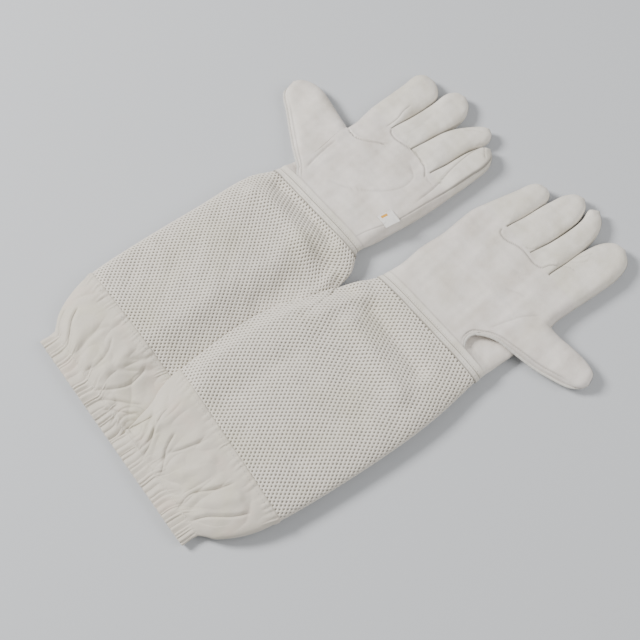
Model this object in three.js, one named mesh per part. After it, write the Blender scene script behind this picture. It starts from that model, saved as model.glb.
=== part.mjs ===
// A pair of long beekeeping gloves lying palm side up, the right sleeve over the edge of the left.
// Millimetres. +X runs from the cuffs to the fingertips, +Y to the left glove, +Z up from the floor.
import * as THREE from "three";
import { mergeVertices } from "three/addons/utils/BufferGeometryUtils.js";

const LEATHER = 1.2; // goatskin thickness
const SPACER = 3; // three-layer spacer mesh thickness
const CANVAS = 1; // cuff cloth thickness
const GAP = 0.4; // clearance between neighbouring pieces
const LINE_GAP = 0.6; // clearance on each bending line
const FLOOR = 0;
const RIM = 8; // height of the side seams above the floor
const FINGER_TOP = 18.5; // height of the finger fronts
const PALM_TOP = 21; // height of the middle of the palm
const WRIST_TOP = 21; // height of the sleeve at the wrist
const SLEEVE_TOP = 24; // height of the flattened sleeve
const HEM_TOP = 12.5; // height of the gathered hem
const EDGE_TOP = 12; // height of the left sleeve's edge under the right sleeve
const BAND = 7.6; // width of the leather binding round the wrist
const STRIP = 6; // opening between front and back that a side strip fills
const HEM_END = -261; // free end of the cuffs
const HEM_DEPTH = 16; // depth of the folded hem
const CHANNEL = 1.8; // height of the slot for the elastic
const ELASTIC = 1; // elastic thickness
const ELASTIC_WIDTH = 12.5;
const ROUND = 36; // points round a sleeve
const WELD = 1e-3; // corners closer than this are one corner
const TINY = 1e-4; // faces with a shorter side are dropped
const SLEEVE_POWER = 2.7; // squareness of a flattened sleeve's cross section
const FRONT_POWER = 2.3; // squareness of the finger fronts
const THUMB_POWER = 2.4; // squareness of the thumb's front
const PALM_POWER = 3; // squareness of the palm
const BACK_POWER = 3.5; // squareness of the finger and thumb backs
const HAND_BACK_POWER = 7; // squareness of the back of the hand
const HEEL_POWER = 2.2; // squareness of the thumb's heel
const SWELL = 1.06; // overswing that gives a flat face its full height before the middle
const TIP_SWELL = 1.08; // the same along a finger, before the tip closes
const TIP_POWER = 7; // how late a finger closes toward its tip
const TIP_CROWD = 1.6; // how closely stations crowd toward a tip
const SIDE_CROWD = 3; // how closely columns crowd toward the side seams
const FINGER_WIDTH = 34;
const FINGER_LENGTH = 75;
const THUMB_WIDTH = 44;
const HAND_WIDTH = 130;
const HEEL_WIDTH = 60;
const ROOT_DENT = 5; // depth of the hollows between the fingers' roots
const ROOT_SPREAD = 6; // half width of those hollows
const HEEL_RISE = 4; // height of the heel above the side seam, at its inner edge
const HEEL_FALL = 2.5; // the same at its outer edge
const LINE_TOP = 16.5; // height of the thumb's bending line at the wrist, and of the thumb's tip
const BINDING = 1.8; // thickness of the folded wrist binding
const WELT = 2.2; // height of the piped welt
const WELT_WIDTH = 2;
const WELT_ENDS = [0.03, 0.8]; // shares of the thumb's length between the welt's ends
const STRIP_ENDS = [0.01, 0.66]; // shares of a finger's length between a side strip's ends
const STRIP_CLOSES = [0.45, 0.8]; // where along a finger its side opening closes
const FINGER_GAP = 1; // clearance between neighbouring fingers
const THUMB_LENGTH = 90;
const LINE_RISE = 0.35; // share of the thumb's bending line where it reaches full height
const LINE_DROP = 0.82; // share of it where it starts down to the crotch
const PALM_SLOPE = 0.6; // share of the palm's length where it starts down to the fingers
const DENT_START = 0.7; // share of the palm's length where the root hollows start
const OVERLAP_IN = [-246, -240]; // X between which the sleeves' overlap begins
const OVERLAP_OUT = [6, 32]; // X between which it ends
const UNDER_Y = [22, 52]; // Y between which the left sleeve rises from its pressed edge
const OVER_Y = [-36, -12]; // Y between which the right sleeve climbs over the left
const OVER_SWELL = 2.5; // extra height of the right sleeve over the left one's edge
const LABEL_T = [0.29, 0.44]; // shares of the palm's length between the label's ends
const LABEL_S = [-0.95, -0.71]; // where it lies across the palm, from -1 at the little finger's side
const LABEL_LIFT = [0.8, 1.6]; // heights of its two faces over the palm
const LABEL_SHIFT = 0.45; // how far it leans outward for each millimetre of height

const LEFT = {
  name: "left",
  out: 1, // side of the thumb along Y
  seam: { little: -183, thumb: -187 }, // X of the mesh and canvas seam at each edge
  wrist: { little: 37.5, thumb: 28 }, // X of the mesh and leather seam at each edge
  knuckles: 148, // X where the fingers bend
  sleeveThumb: [
    [HEM_END, 126], [-245, 127], [-232, 138.5], [-210, 149], [-187, 154.5], [-130, 156],
    [-60, 154], [0, 152], [28, 142], [40, 141.8],
  ],
  sleeveLittle: [
    [HEM_END, 5.5], [-245, 3.2], [-240, 2.6], [-228, -1], [-214, -3], [-205, -4], [-183, -8], [-120, -9],
    [-50, -6], [-15, -1], [5, 4.5], [22, 8.5], [33, 17], [37.5, 22.5], [47, 22.5],
  ],
  handLittle: [[45, 22.5], [60, 20.5], [80, 19], [100, 17.2], [125, 16.2], [148, 16.6]],
  handThumb: [[36, 141.8], [50, 140.6], [80, 139.8], [114, 139.8], [125, 140], [135, 142], [148, 144.6]],
  palmThumb: [
    [37, 117], [41, 123], [46, 128], [114, 138.8], [125, 140], [135, 142], [148, 144.6],
  ],
  thumbLine: [[46, 128.5], [114, 139.4]],
  thumbOuter: [[46, 129.4], [52.3, 144], [62, 163.5], [76, 190.5], [88, 212.5], [102, 218]],
  thumbDrop: [-0.1, 0.35], // shares of the outer edge over which it comes down off the hand
  thumbInner: [
    [114.2, 140.4], [116, 154], [118.5, 172], [120.3, 190], [117.5, 204], [110, 214.5], [102, 218],
  ],
  thumbBackOuter: [[52.6, 144.2], [62, 163.5], [76, 190.5], [88, 212.5], [102, 218]],
  thumbBackInner: [
    [114.8, 142.6], [116.4, 156], [118.5, 172], [120.3, 190], [117.5, 204], [110, 214.5], [102, 218],
  ],
  heelInner: [[37, 113], [41, 120], [46, 126], [52, 136]],
  fingers: {
    index: {
      thumb: [[148, 144.5], [190, 147], [208, 148.5], [217, 143], [220.5, 132]],
      little: [[148, 111.2], [198, 111.5], [211, 115], [218, 123], [220.5, 132]],
    },
    middle: {
      thumb: [[148, 110], [200, 110.3], [220, 112.3], [231, 107], [235, 98]],
      little: [[148, 80], [175, 79.8], [205, 77], [220, 79.6], [231, 88], [235, 98]],
    },
    ring: {
      thumb: [[148, 78.9], [175, 78.5], [199, 75], [216, 67.5], [227, 60.5], [231.5, 54.5]],
      little: [[148, 47.3], [200, 45.8], [219, 42.7], [228, 46.5], [231.5, 54.5]],
    },
    little: {
      thumb: [[148, 46.3], [200, 44.5], [213, 41], [217.5, 35]],
      little: [[148, 16.6], [190, 18], [204, 20.5], [213, 27], [217.5, 35]],
    },
  },
};

const RIGHT = {
  name: "right",
  out: -1,
  seam: { little: -173, thumb: -180 },
  wrist: { little: 42, thumb: 52 },
  knuckles: 173,
  sleeveThumb: [
    [HEM_END, -117.5], [-245, -119], [-233, -132], [-210, -145], [-185, -151.5], [-130, -157],
    [-50, -160], [0, -158], [52, -151.2], [63, -151.2],
  ],
  sleeveLittle: [
    [HEM_END, 0.5], [-245, 1.5], [-240, 2.2], [-228, 5], [-214, 8], [-206, 11], [-196, 16], [-180, 20],
    [-100, 25],
    [-55, 20], [-30, 11.5], [5, 2.5], [24, -6], [42, -12.5], [52, -12.8],
  ],
  handLittle: [[49, -12.8], [70, -13], [90, -10.6], [120, -11], [145, -8.5], [160, -7.7], [173, -10]],
  handThumb: [[59, -151.2], [95, -151.4], [120, -151.4], [142, -151], [152, -149], [173, -149]],
  palmThumb: [
    [57, -121], [62, -116], [69, -113.3], [77, -114.6], [142, -149.6], [152, -149], [173, -149],
  ],
  thumbLine: [[77, -115], [142, -150.4]],
  thumbOuter: [
    [77.3, -116], [84, -123], [91, -134], [96.5, -150], [103, -171], [110, -189], [118, -206],
    [126, -215], [134, -217],
  ],
  thumbDrop: [0.1, 0.6],
  thumbInner: [[141.9, -151.3], [142.5, -162], [145.5, -180], [147.3, -198], [144.5, -211], [134, -217]],
  thumbBackOuter: [[98, -153.6], [103, -171], [110, -189], [118, -206], [126, -215], [134, -217]],
  thumbBackInner: [
    [142.3, -153.6], [142.7, -164], [145.5, -180], [147.3, -198], [144.5, -211], [134, -217],
  ],
  heelInner: [[57, -117], [62, -113], [69, -110.5], [78, -112], [90, -127], [98, -143]],
  fingers: {
    index: {
      thumb: [[173, -149], [205, -150], [228, -149.5], [245, -144], [254, -131]],
      little: [[173, -109.4], [218, -108.2], [240, -112], [251, -120], [254, -131]],
    },
    middle: {
      thumb: [[173, -108.4], [218, -107], [240, -103], [254, -95], [261.5, -83]],
      little: [[173, -80.4], [215, -82.8], [240, -80.6], [254, -76], [261.5, -83]],
    },
    ring: {
      thumb: [[173, -79.4], [215, -81.6], [238, -79.2], [252, -73], [258.3, -64]],
      little: [[173, -45.2], [226, -47], [245, -49.5], [255, -56], [258.3, -64]],
    },
    little: {
      thumb: [[173, -44.2], [215, -45.6], [226, -44.4], [233, -40], [235.3, -33]],
      little: [[173, -10], [190, -13], [210, -17], [224, -19.5], [232, -25], [235.3, -33]],
    },
  },
};

const LOOKS = {
  leather: { color: "#d3d0ca", roughness: 0.62, metalness: 0 },
  mesh: { color: "#cbc8c0", roughness: 0.9, metalness: 0 },
  canvas: { color: "#cfccc3", roughness: 0.88, metalness: 0 },
  elastic: { color: "#e2e0da", roughness: 0.8, metalness: 0 },
  label: { color: "#ecebe6", roughness: 0.7, metalness: 0 },
};

const { lerp, clamp, smoothstep } = THREE.MathUtils;
const bulge = (x, power) => Math.sign(x) * Math.abs(x) ** (2 / power);

// Height of y along a smooth line through points whose x grows.
function through(points) {
  const slope = (i, j) => (points[j][1] - points[i][1]) / (points[j][0] - points[i][0]);
  const last = points.length - 1;
  const tangent = (i) => slope(Math.max(i - 1, 0), Math.min(i + 1, last));
  return (x) => {
    let k = 1;
    while (k < last && points[k][0] < x) k += 1;
    const span = points[k][0] - points[k - 1][0];
    const u = clamp((x - points[k - 1][0]) / span, 0, 1);
    const bend = tangent(k - 1) * u * (1 - u) ** 2 - tangent(k) * (1 - u) * u ** 2;
    return lerp(points[k - 1][1], points[k][1], u * u * (3 - 2 * u)) + span * bend;
  };
}

// A plan outline from its base to the tip, as a point for a share t of its length.
function outline(points) {
  const curve = new THREE.CatmullRomCurve3(
    points.map(([x, y]) => new THREE.Vector3(x, y, 0)),
    false,
    "centripetal",
  );
  return (t) => curve.getPointAt(clamp(t, 0, 1));
}

// One closed body from triangles, with collapsed faces dropped and every face turned outward.
function solid(triangles) {
  const kept = triangles.filter(([a, b, c]) => {
    const shortest = Math.min(a.distanceTo(b), b.distanceTo(c), c.distanceTo(a));
    return shortest > TINY;
  });
  let volume = 0;
  for (const [a, b, c] of kept) volume += a.dot(b.clone().cross(c));
  const corners = kept.flatMap(([a, b, c]) => (volume > 0 ? [a, b, c] : [a, c, b]));
  const geometry = new THREE.BufferGeometry().setFromPoints(corners);
  return mergeVertices(geometry, WELD);
}

const quad = (a, b, c, d) => [[a, b, c], [a, c, d]];

// A leaf of leather: two grids of the same layout, one station after another, closed at the rims.
function leaf(outer, inner) {
  const faces = [];
  const stations = outer.length;
  const across = outer[0].length - 1;
  for (let i = 0; i + 1 < stations; i += 1) {
    for (let j = 0; j < across; j += 1) {
      faces.push(...quad(outer[i][j], outer[i + 1][j], outer[i + 1][j + 1], outer[i][j + 1]));
      faces.push(...quad(inner[i][j], inner[i][j + 1], inner[i + 1][j + 1], inner[i + 1][j]));
    }
    faces.push(...quad(outer[i][0], inner[i][0], inner[i + 1][0], outer[i + 1][0]));
    const a = across;
    faces.push(...quad(outer[i][a], outer[i + 1][a], inner[i + 1][a], inner[i][a]));
  }
  for (const [i, turn] of [[0, true], [stations - 1, false]]) {
    for (let j = 0; j < across; j += 1) {
      const corners = [outer[i][j], outer[i][j + 1], inner[i][j + 1], inner[i][j]];
      faces.push(...quad(...(turn ? corners : corners.reverse())));
    }
  }
  return solid(faces);
}

// A ring-shaped body: closed loops of points, each joined to the next and the last to the first.
function ringBody(loops) {
  const faces = [];
  loops.forEach((loop, i) => {
    const next = loops[(i + 1) % loops.length];
    loop.forEach((point, j) => {
      const k = (j + 1) % loop.length;
      faces.push(...quad(point, loop[k], next[k], next[j]));
    });
  });
  return solid(faces);
}

// How a finger or thumb keeps its height along its length and then closes at the tip.
const tipDome = (t) => Math.min(1, TIP_SWELL * Math.sqrt(1 - t ** TIP_POWER));

// Surface of a leather piece between its little side (s = -1) and thumb side (s = 1).
// The inner face is the same surface drawn in by the leather's thickness.
function surface(shape) {
  return (t, s, inset) => {
    const a = shape.little(t);
    const b = shape.thumb(t);
    const back = shape.tip ? 1 - inset / shape.length : 1;
    const centre = shape.little(t * back).add(shape.thumb(t * back)).multiplyScalar(0.5);
    const half = b.sub(a).multiplyScalar(0.5 * (1 - (2 * inset) / shape.width));
    const rim = lerp(shape.rimLittle(t), shape.rimThumb(t), (s + 1) / 2);
    const arch = Math.min(1, shape.swell * (1 - Math.abs(s) ** shape.power) ** (1 / shape.power));
    const thinner = 1 - inset / Math.abs(shape.level(0, 0) - RIM);
    const rise = (shape.level(t, s) - rim) * thinner * (shape.tip ? tipDome(t) : 1);
    const point = centre.addScaledVector(half, s);
    const dent = shape.dent ? shape.dent(point) * arch * smoothstep(t, DENT_START, 1) : 0;
    return point.setZ(rim + rise * arch - dent);
  };
}

// A leather piece built over that surface, with stations crowded toward a closed tip.
function leatherPiece(shape, stations, across) {
  const at = surface(shape);
  const grid = (inset) =>
    Array.from({ length: stations + 1 }, (_, i) => {
      const even = i / stations;
      const t = shape.tip ? 1 - (1 - even) ** TIP_CROWD : even;
      return Array.from({ length: across + 1 }, (_, j) => {
        const s = bulge(-Math.cos((Math.PI * j) / across), SIDE_CROWD);
        return at(t, clamp(s, -1, 1), inset);
      });
    });
  return leaf(grid(0), grid(LEATHER));
}

// A strip on edge along an outline, from one share of its length to another.
function strip(line, from, to, near, far, low, high) {
  const rows = [[], [], [], []];
  const steps = 10;
  for (let i = 0; i <= steps; i += 1) {
    const t = lerp(from, to, i / steps);
    const along = line(t + 0.01).sub(line(t - 0.01)).normalize();
    const side = new THREE.Vector3(along.y, -along.x, 0);
    const place = (offset, z) => line(t).addScaledVector(side, offset).setZ(z);
    rows[0].push(place(near, low(t)));
    rows[1].push(place(far, low(t)));
    rows[2].push(place(far, high(t)));
    rows[3].push(place(near, high(t)));
  }
  const faces = [];
  for (let i = 0; i < steps; i += 1) {
    for (let r = 0; r < 4; r += 1) {
      const q = (r + 1) % 4;
      faces.push(...quad(rows[r][i], rows[r][i + 1], rows[q][i + 1], rows[q][i]));
    }
  }
  faces.push(...quad(rows[0][0], rows[1][0], rows[2][0], rows[3][0]));
  faces.push(...quad(rows[3][steps], rows[2][steps], rows[1][steps], rows[0][steps]));
  return solid(faces);
}

// Share of the full side strip opening that is left at t: it closes before the fingertip.
const stripShare = (t) => 1 - smoothstep(t, ...STRIP_CLOSES);

// Sides of each finger that face another finger.
const SIDES = {
  index: ["little"],
  middle: ["thumb", "little"],
  ring: ["thumb", "little"],
  little: ["thumb"],
};

function fingerShape(glove, name, front) {
  const finger = glove.fingers[name];
  const up = front ? 1 : -1;
  const start = (points) => [[glove.knuckles + LINE_GAP, points[0][1]], ...points.slice(1)];
  const rim = (side) => (t) =>
    RIM + up * (GAP / 2 + (SIDES[name].includes(side) ? (STRIP / 2) * stripShare(t) : 0));
  return {
    little: outline(start(finger.little)),
    thumb: outline(start(finger.thumb)),
    width: FINGER_WIDTH,
    length: FINGER_LENGTH,
    tip: true,
    rimLittle: rim("little"),
    rimThumb: rim("thumb"),
    power: front ? FRONT_POWER : BACK_POWER,
    swell: front ? 1 : SWELL,
    level: () => (front ? FINGER_TOP : FLOOR),
  };
}

const fingerFront = (glove, name) => leatherPiece(fingerShape(glove, name, true), 9, 8);
const fingerBack = (glove, name) => leatherPiece(fingerShape(glove, name, false), 8, 6);

function sideStrip(glove, name, side) {
  const line = fingerShape(glove, name, true)[side];
  const inward = (side === "little" ? -1 : 1) * glove.out;
  const open = (t) => (STRIP / 2) * stripShare(t) - GAP / 2;
  const low = (t) => RIM - open(t);
  const high = (t) => RIM + open(t);
  return strip(line, ...STRIP_ENDS, 0, inward * LEATHER, low, high);
}

// X where the hand's leather starts at y, just past the wrist binding.
function handStart(glove, y) {
  const little = glove.handLittle[0][1];
  const thumb = glove.handThumb[0][1];
  const seam = lerp(glove.wrist.little, glove.wrist.thumb, (y - little) / (thumb - little));
  return seam + BAND + LINE_GAP;
}

// One side of the hand at share t, between the wrist and the knuckles.
function handEdge(glove, points) {
  const y = through(points);
  const start = handStart(glove, points[0][1]);
  return (t) => {
    const x = lerp(start, glove.knuckles - LINE_GAP / 2, t);
    return new THREE.Vector3(x, y(x), 0);
  };
}

// Height of the palm's thumb side edge: high along the thumb's bending line, low elsewhere.
function thumbLineHeight(glove, x) {
  const [[from], [to]] = glove.thumbLine;
  const u = (x - from) / (to - from);
  const high = lerp(LINE_TOP, FINGER_TOP, smoothstep(u, 0, LINE_RISE));
  return lerp(high, RIM + GAP / 2, smoothstep(u, LINE_DROP, 1));
}

function palmShape(glove) {
  const thumb = handEdge(glove, glove.palmThumb);
  const fingers = Object.values(glove.fingers);
  const roots = fingers.slice(0, -1).map((f) => f.little[0][1] - (glove.out * FINGER_GAP) / 2);
  return {
    little: handEdge(glove, glove.handLittle),
    thumb,
    width: HAND_WIDTH,
    tip: false,
    rimLittle: () => RIM + GAP / 2,
    rimThumb: (t) => thumbLineHeight(glove, thumb(t).x),
    power: PALM_POWER,
    swell: 1,
    level: (t) => PALM_TOP - (PALM_TOP - FINGER_TOP) * smoothstep(t, PALM_SLOPE, 1),
    dent: (p) => ROOT_DENT * Math.max(...roots.map((y) => Math.exp(-(((p.y - y) / ROOT_SPREAD) ** 2)))),
  };
}

const palmPanel = (glove) => leatherPiece(palmShape(glove), 7, 18);

function backPanel(glove) {
  return leatherPiece(
    {
      little: handEdge(glove, glove.handLittle),
      thumb: handEdge(glove, glove.handThumb),
      width: HAND_WIDTH,
      tip: false,
      rimLittle: () => RIM - GAP / 2,
      rimThumb: () => RIM - GAP / 2,
      power: HAND_BACK_POWER,
      swell: SWELL,
      level: () => FLOOR,
    },
    5,
    12,
  );
}

// The thumb leather's heel, closing the hand between the wrist binding and the thumb.
function thumbHeel(glove) {
  const inner = through(glove.heelInner);
  const outer = through(glove.handThumb);
  const end = glove.heelInner.at(-1)[0];
  const at = (y, first) => (t) => {
    const x = lerp(handStart(glove, first), end, t);
    return new THREE.Vector3(x, y(x), 0);
  };
  return leatherPiece(
    {
      little: at(inner, glove.heelInner[0][1]),
      thumb: at(outer, glove.handThumb[0][1]),
      width: HEEL_WIDTH,
      tip: false,
      rimLittle: () => RIM + HEEL_RISE - LEATHER,
      rimThumb: () => RIM + GAP / 2,
      power: HEEL_POWER,
      swell: 1,
      level: (t, s) => RIM + lerp(HEEL_RISE, HEEL_FALL, (s + 1) / 2),
    },
    6,
    8,
  );
}

function thumbFrontShape(glove) {
  const high = thumbLineHeight(glove, glove.thumbLine[0][0]);
  return {
    little: outline(glove.thumbInner),
    thumb: outline(glove.thumbOuter),
    width: THUMB_WIDTH,
    length: THUMB_LENGTH,
    tip: true,
    rimLittle: () => RIM + GAP / 2,
    rimThumb: (t) => lerp(high, RIM + GAP / 2, smoothstep(t, ...glove.thumbDrop)),
    power: THUMB_POWER,
    swell: 1,
    level: (t) => lerp(FINGER_TOP, LINE_TOP, t),
  };
}

const thumbFront = (glove) => leatherPiece(thumbFrontShape(glove), 14, 9);

function thumbBack(glove) {
  return leatherPiece(
    {
      little: outline(glove.thumbBackInner),
      thumb: outline(glove.thumbBackOuter),
      width: THUMB_WIDTH,
      length: FINGER_LENGTH,
      tip: true,
      rimLittle: () => RIM - GAP / 2,
      rimThumb: () => RIM - GAP / 2,
      power: BACK_POWER,
      swell: SWELL,
      level: () => FLOOR,
    },
    9,
    8,
  );
}

function thumbWelt(glove) {
  const shape = thumbFrontShape(glove);
  const outward = -glove.out;
  const low = (t) => shape.rimThumb(t) - WELT / 2;
  const high = (t) => shape.rimThumb(t) + WELT / 2;
  const near = GAP * 2;
  return strip(shape.thumb, ...WELT_ENDS, outward * near, outward * (near + WELT_WIDTH), low, high);
}

// How far the two sleeves overlap at x: 1 where one lies on the other, 0 clear of it.
function overlap(x) {
  return smoothstep(x, ...OVERLAP_IN) * (1 - smoothstep(x, ...OVERLAP_OUT));
}

const sleeveHeight = through([
  [HEM_END, HEM_TOP], [-245, HEM_TOP], [-238, 17], [-225, 22], [-190, 25], [-120, SLEEVE_TOP],
  [-20, SLEEVE_TOP], [30, WRIST_TOP], [62, WRIST_TOP],
]);

// Floor-side and upper height of a flattened sleeve at x, y.
function sleeveLevels(glove, x, y) {
  const top = sleeveHeight(x);
  if (glove.out > 0) {
    const under = overlap(x) * (1 - smoothstep(y, ...UNDER_Y));
    return [FLOOR, lerp(top, EDGE_TOP, under)];
  }
  const over = overlap(x) * smoothstep(y, ...OVER_Y);
  return [over * (EDGE_TOP + GAP), top + over * OVER_SWELL];
}

// A closed loop round a sleeve, on a cross line given by its X at each edge.
function sleeveLoop(glove, line, inset) {
  const thumbY = through(glove.sleeveThumb)(line.thumb);
  const littleY = through(glove.sleeveLittle)(line.little);
  const half = Math.abs(thumbY - littleY) / 2;
  return Array.from({ length: ROUND }, (_, k) => {
    const angle = (2 * Math.PI * k) / ROUND;
    const s = bulge(Math.cos(angle), SLEEVE_POWER) * (1 - inset / half);
    const x = lerp(line.little, line.thumb, (s + 1) / 2);
    const y = lerp(littleY, thumbY, (s + 1) / 2);
    const [low, high] = sleeveLevels(glove, x, y);
    const arch = clamp(SWELL * bulge(Math.sin(angle), SLEEVE_POWER), -1, 1);
    return new THREE.Vector3(x, y, (low + high) / 2 + ((high - low) / 2 - inset) * arch);
  });
}

const shifted = (line, by) => ({ little: line.little + by, thumb: line.thumb + by });
const between = (a, b, t) => ({ little: lerp(a.little, b.little, t), thumb: lerp(a.thumb, b.thumb, t) });

function meshSleeve(glove) {
  const from = shifted(glove.seam, GAP / 2);
  const to = shifted(glove.wrist, -GAP / 2);
  const shares = [0, 0.15, 0.4, 0.6, 0.75, 0.85, 0.93, 1];
  const outer = shares.map((t) => sleeveLoop(glove, between(from, to, t), 0));
  const inner = shares.map((t) => sleeveLoop(glove, between(from, to, t), SPACER));
  return ringBody([...outer, ...inner.reverse()]);
}

function wristBand(glove) {
  const from = shifted(glove.wrist, GAP / 2);
  const to = shifted(glove.wrist, BAND);
  return ringBody([
    sleeveLoop(glove, from, 0),
    sleeveLoop(glove, to, 0),
    sleeveLoop(glove, to, BINDING),
    sleeveLoop(glove, from, BINDING),
  ]);
}

// A loop round the hem at a distance from the free end.
function hemLoop(glove, distance, inset) {
  const at = (x) => sleeveLoop(glove, { little: x, thumb: x }, inset);
  const fold = at(HEM_END + HEM_DEPTH);
  return at(HEM_END).map((point, k) => point.lerp(fold[k], distance / HEM_DEPTH));
}

// The cuff cloth runs to the free end, folds inward and comes back as the channel's inner layer.
function canvasCuff(glove) {
  const from = shifted(glove.seam, -GAP / 2);
  const fold = { little: HEM_END + HEM_DEPTH, thumb: HEM_END + HEM_DEPTH };
  const shares = [0, 0.25, 0.45, 0.62, 0.82, 0.93, 1];
  const wall = (inset) => shares.map((t) => sleeveLoop(glove, between(from, fold, t), inset));
  const underside = CANVAS + CHANNEL;
  return ringBody([
    ...wall(0),
    hemLoop(glove, 0, 0),
    hemLoop(glove, 0, underside + CANVAS),
    hemLoop(glove, HEM_DEPTH, underside + CANVAS),
    hemLoop(glove, HEM_DEPTH, underside),
    hemLoop(glove, CANVAS, underside),
    hemLoop(glove, CANVAS, CANVAS),
    ...wall(CANVAS).reverse(),
  ]);
}

function elasticBand(glove) {
  const near = CANVAS + 1;
  const far = near + ELASTIC_WIDTH;
  const top = CANVAS + GAP;
  return ringBody([
    hemLoop(glove, near, top),
    hemLoop(glove, far, top),
    hemLoop(glove, far, top + ELASTIC),
    hemLoop(glove, near, top + ELASTIC),
  ]);
}

// A small folded label standing just clear of the palm, near the little finger's edge.
function sewnLabel(glove) {
  const at = surface(palmShape(glove));
  const layer = (lift) =>
    Array.from({ length: 4 }, (_, i) =>
      Array.from({ length: 5 }, (_, j) => {
        const t = lerp(...LABEL_T, i / 3);
        const s = lerp(...LABEL_S, j / 4);
        return at(t, s, 0).add(new THREE.Vector3(0, -LABEL_SHIFT * lift, lift));
      }),
    );
  const [under, over] = LABEL_LIFT.map(layer);
  return leaf(over, under);
}

function add(group, name, geometry, look) {
  const mesh = new THREE.Mesh(geometry, new THREE.MeshStandardMaterial(LOOKS[look]));
  mesh.name = name;
  group.add(mesh);
}

function addGlove(group, glove) {
  const put = (part, geometry, look = "leather") => add(group, `${glove.name}_${part}`, geometry, look);
  put("canvas_cuff", canvasCuff(glove), "canvas");
  put("elastic_band", elasticBand(glove), "elastic");
  put("mesh_sleeve", meshSleeve(glove), "mesh");
  put("wrist_band", wristBand(glove));
  put("palm_panel", palmPanel(glove));
  put("back_panel", backPanel(glove));
  put("thumb_heel", thumbHeel(glove));
  put("thumb_front", thumbFront(glove));
  put("thumb_back", thumbBack(glove));
  put("thumb_welt", thumbWelt(glove));
  for (const name of Object.keys(glove.fingers)) {
    put(`${name}_front`, fingerFront(glove, name));
    put(`${name}_back`, fingerBack(glove, name));
    for (const side of SIDES[name]) put(`${name}_strip_${side}_side`, sideStrip(glove, name, side));
  }
}

const gloves = new THREE.Group();
gloves.name = "beekeeping_gloves";
addGlove(gloves, LEFT);
addGlove(gloves, RIGHT);
add(gloves, "left_sewn_label", sewnLabel(LEFT), "label");

export default gloves;
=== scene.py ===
import math

import bpy
import numpy as np
from mathutils import Matrix, Vector


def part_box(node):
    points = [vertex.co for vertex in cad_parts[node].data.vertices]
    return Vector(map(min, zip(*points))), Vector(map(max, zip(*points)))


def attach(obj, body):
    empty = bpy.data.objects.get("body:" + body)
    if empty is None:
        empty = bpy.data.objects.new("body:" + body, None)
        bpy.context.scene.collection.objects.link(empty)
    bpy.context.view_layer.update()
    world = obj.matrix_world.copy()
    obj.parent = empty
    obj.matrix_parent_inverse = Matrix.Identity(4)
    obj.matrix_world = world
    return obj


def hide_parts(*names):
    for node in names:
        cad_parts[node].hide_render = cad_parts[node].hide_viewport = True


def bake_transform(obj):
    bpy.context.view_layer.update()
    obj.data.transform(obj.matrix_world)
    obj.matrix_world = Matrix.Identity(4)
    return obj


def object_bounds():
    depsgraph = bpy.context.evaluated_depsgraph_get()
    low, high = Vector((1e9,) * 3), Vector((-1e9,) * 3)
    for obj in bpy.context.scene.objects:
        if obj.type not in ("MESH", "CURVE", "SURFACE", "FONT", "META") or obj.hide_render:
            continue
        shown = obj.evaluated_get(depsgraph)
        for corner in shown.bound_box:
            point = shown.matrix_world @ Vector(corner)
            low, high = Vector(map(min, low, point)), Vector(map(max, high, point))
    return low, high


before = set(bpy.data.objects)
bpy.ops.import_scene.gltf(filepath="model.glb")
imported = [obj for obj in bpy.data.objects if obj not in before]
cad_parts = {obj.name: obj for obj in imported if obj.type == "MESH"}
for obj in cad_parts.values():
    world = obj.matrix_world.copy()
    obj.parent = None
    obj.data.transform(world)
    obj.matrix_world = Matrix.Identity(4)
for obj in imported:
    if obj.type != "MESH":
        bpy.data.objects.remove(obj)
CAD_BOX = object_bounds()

# All lengths are millimetres in the CAD frame, and become metres where a mesh is made.
MM = 0.001
LEATHER = 1.2
RIM = 8.0  # height of the side seams above the floor
FINGER_TOP = 18.5
PALM_TOP = 20.6
WRIST_TOP = 21.0
SLEEVE_TOP = 24.0
HEM_TOP = 12.5
EDGE_TOP = 12.0
BAND = 7.6  # width of the leather binding round the wrist
STRIP = 6.0
HEM_DEPTH = 16.0
FLOOR_GAP = 0.1
SEAM = 0.2  # the leathers meet exactly this close to an outline
LIFT = 0.4  # clearance of the upper sleeve over the lower one
SQUARE = 2.7  # how boxy a sleeve's section is, with 2 for an ellipse
FULL = 1.06  # flattens its top and bottom
PUCKER = 4.3  # pitch of the puckers along an inner seam
GATHER_PITCH = 4.9  # mean width of a ridge at the hem
TUCK_PITCH = 4.16  # mean width of a pucker at the seam with the mesh
HOLE = (0.212, 0.196)  # half size of a mesh hole, as shares of the lattice's pitch and row
THREAD_STEPS = (0.0, -0.08, -0.5, -1.05)  # heights from the crown of the mesh's threads to their underside
HEM_END = CAD_BOX[0][0] / MM
LABEL_BAR = ((2.5, 9.5), (10.6, 13.4))  # of the label's own length and width

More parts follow.
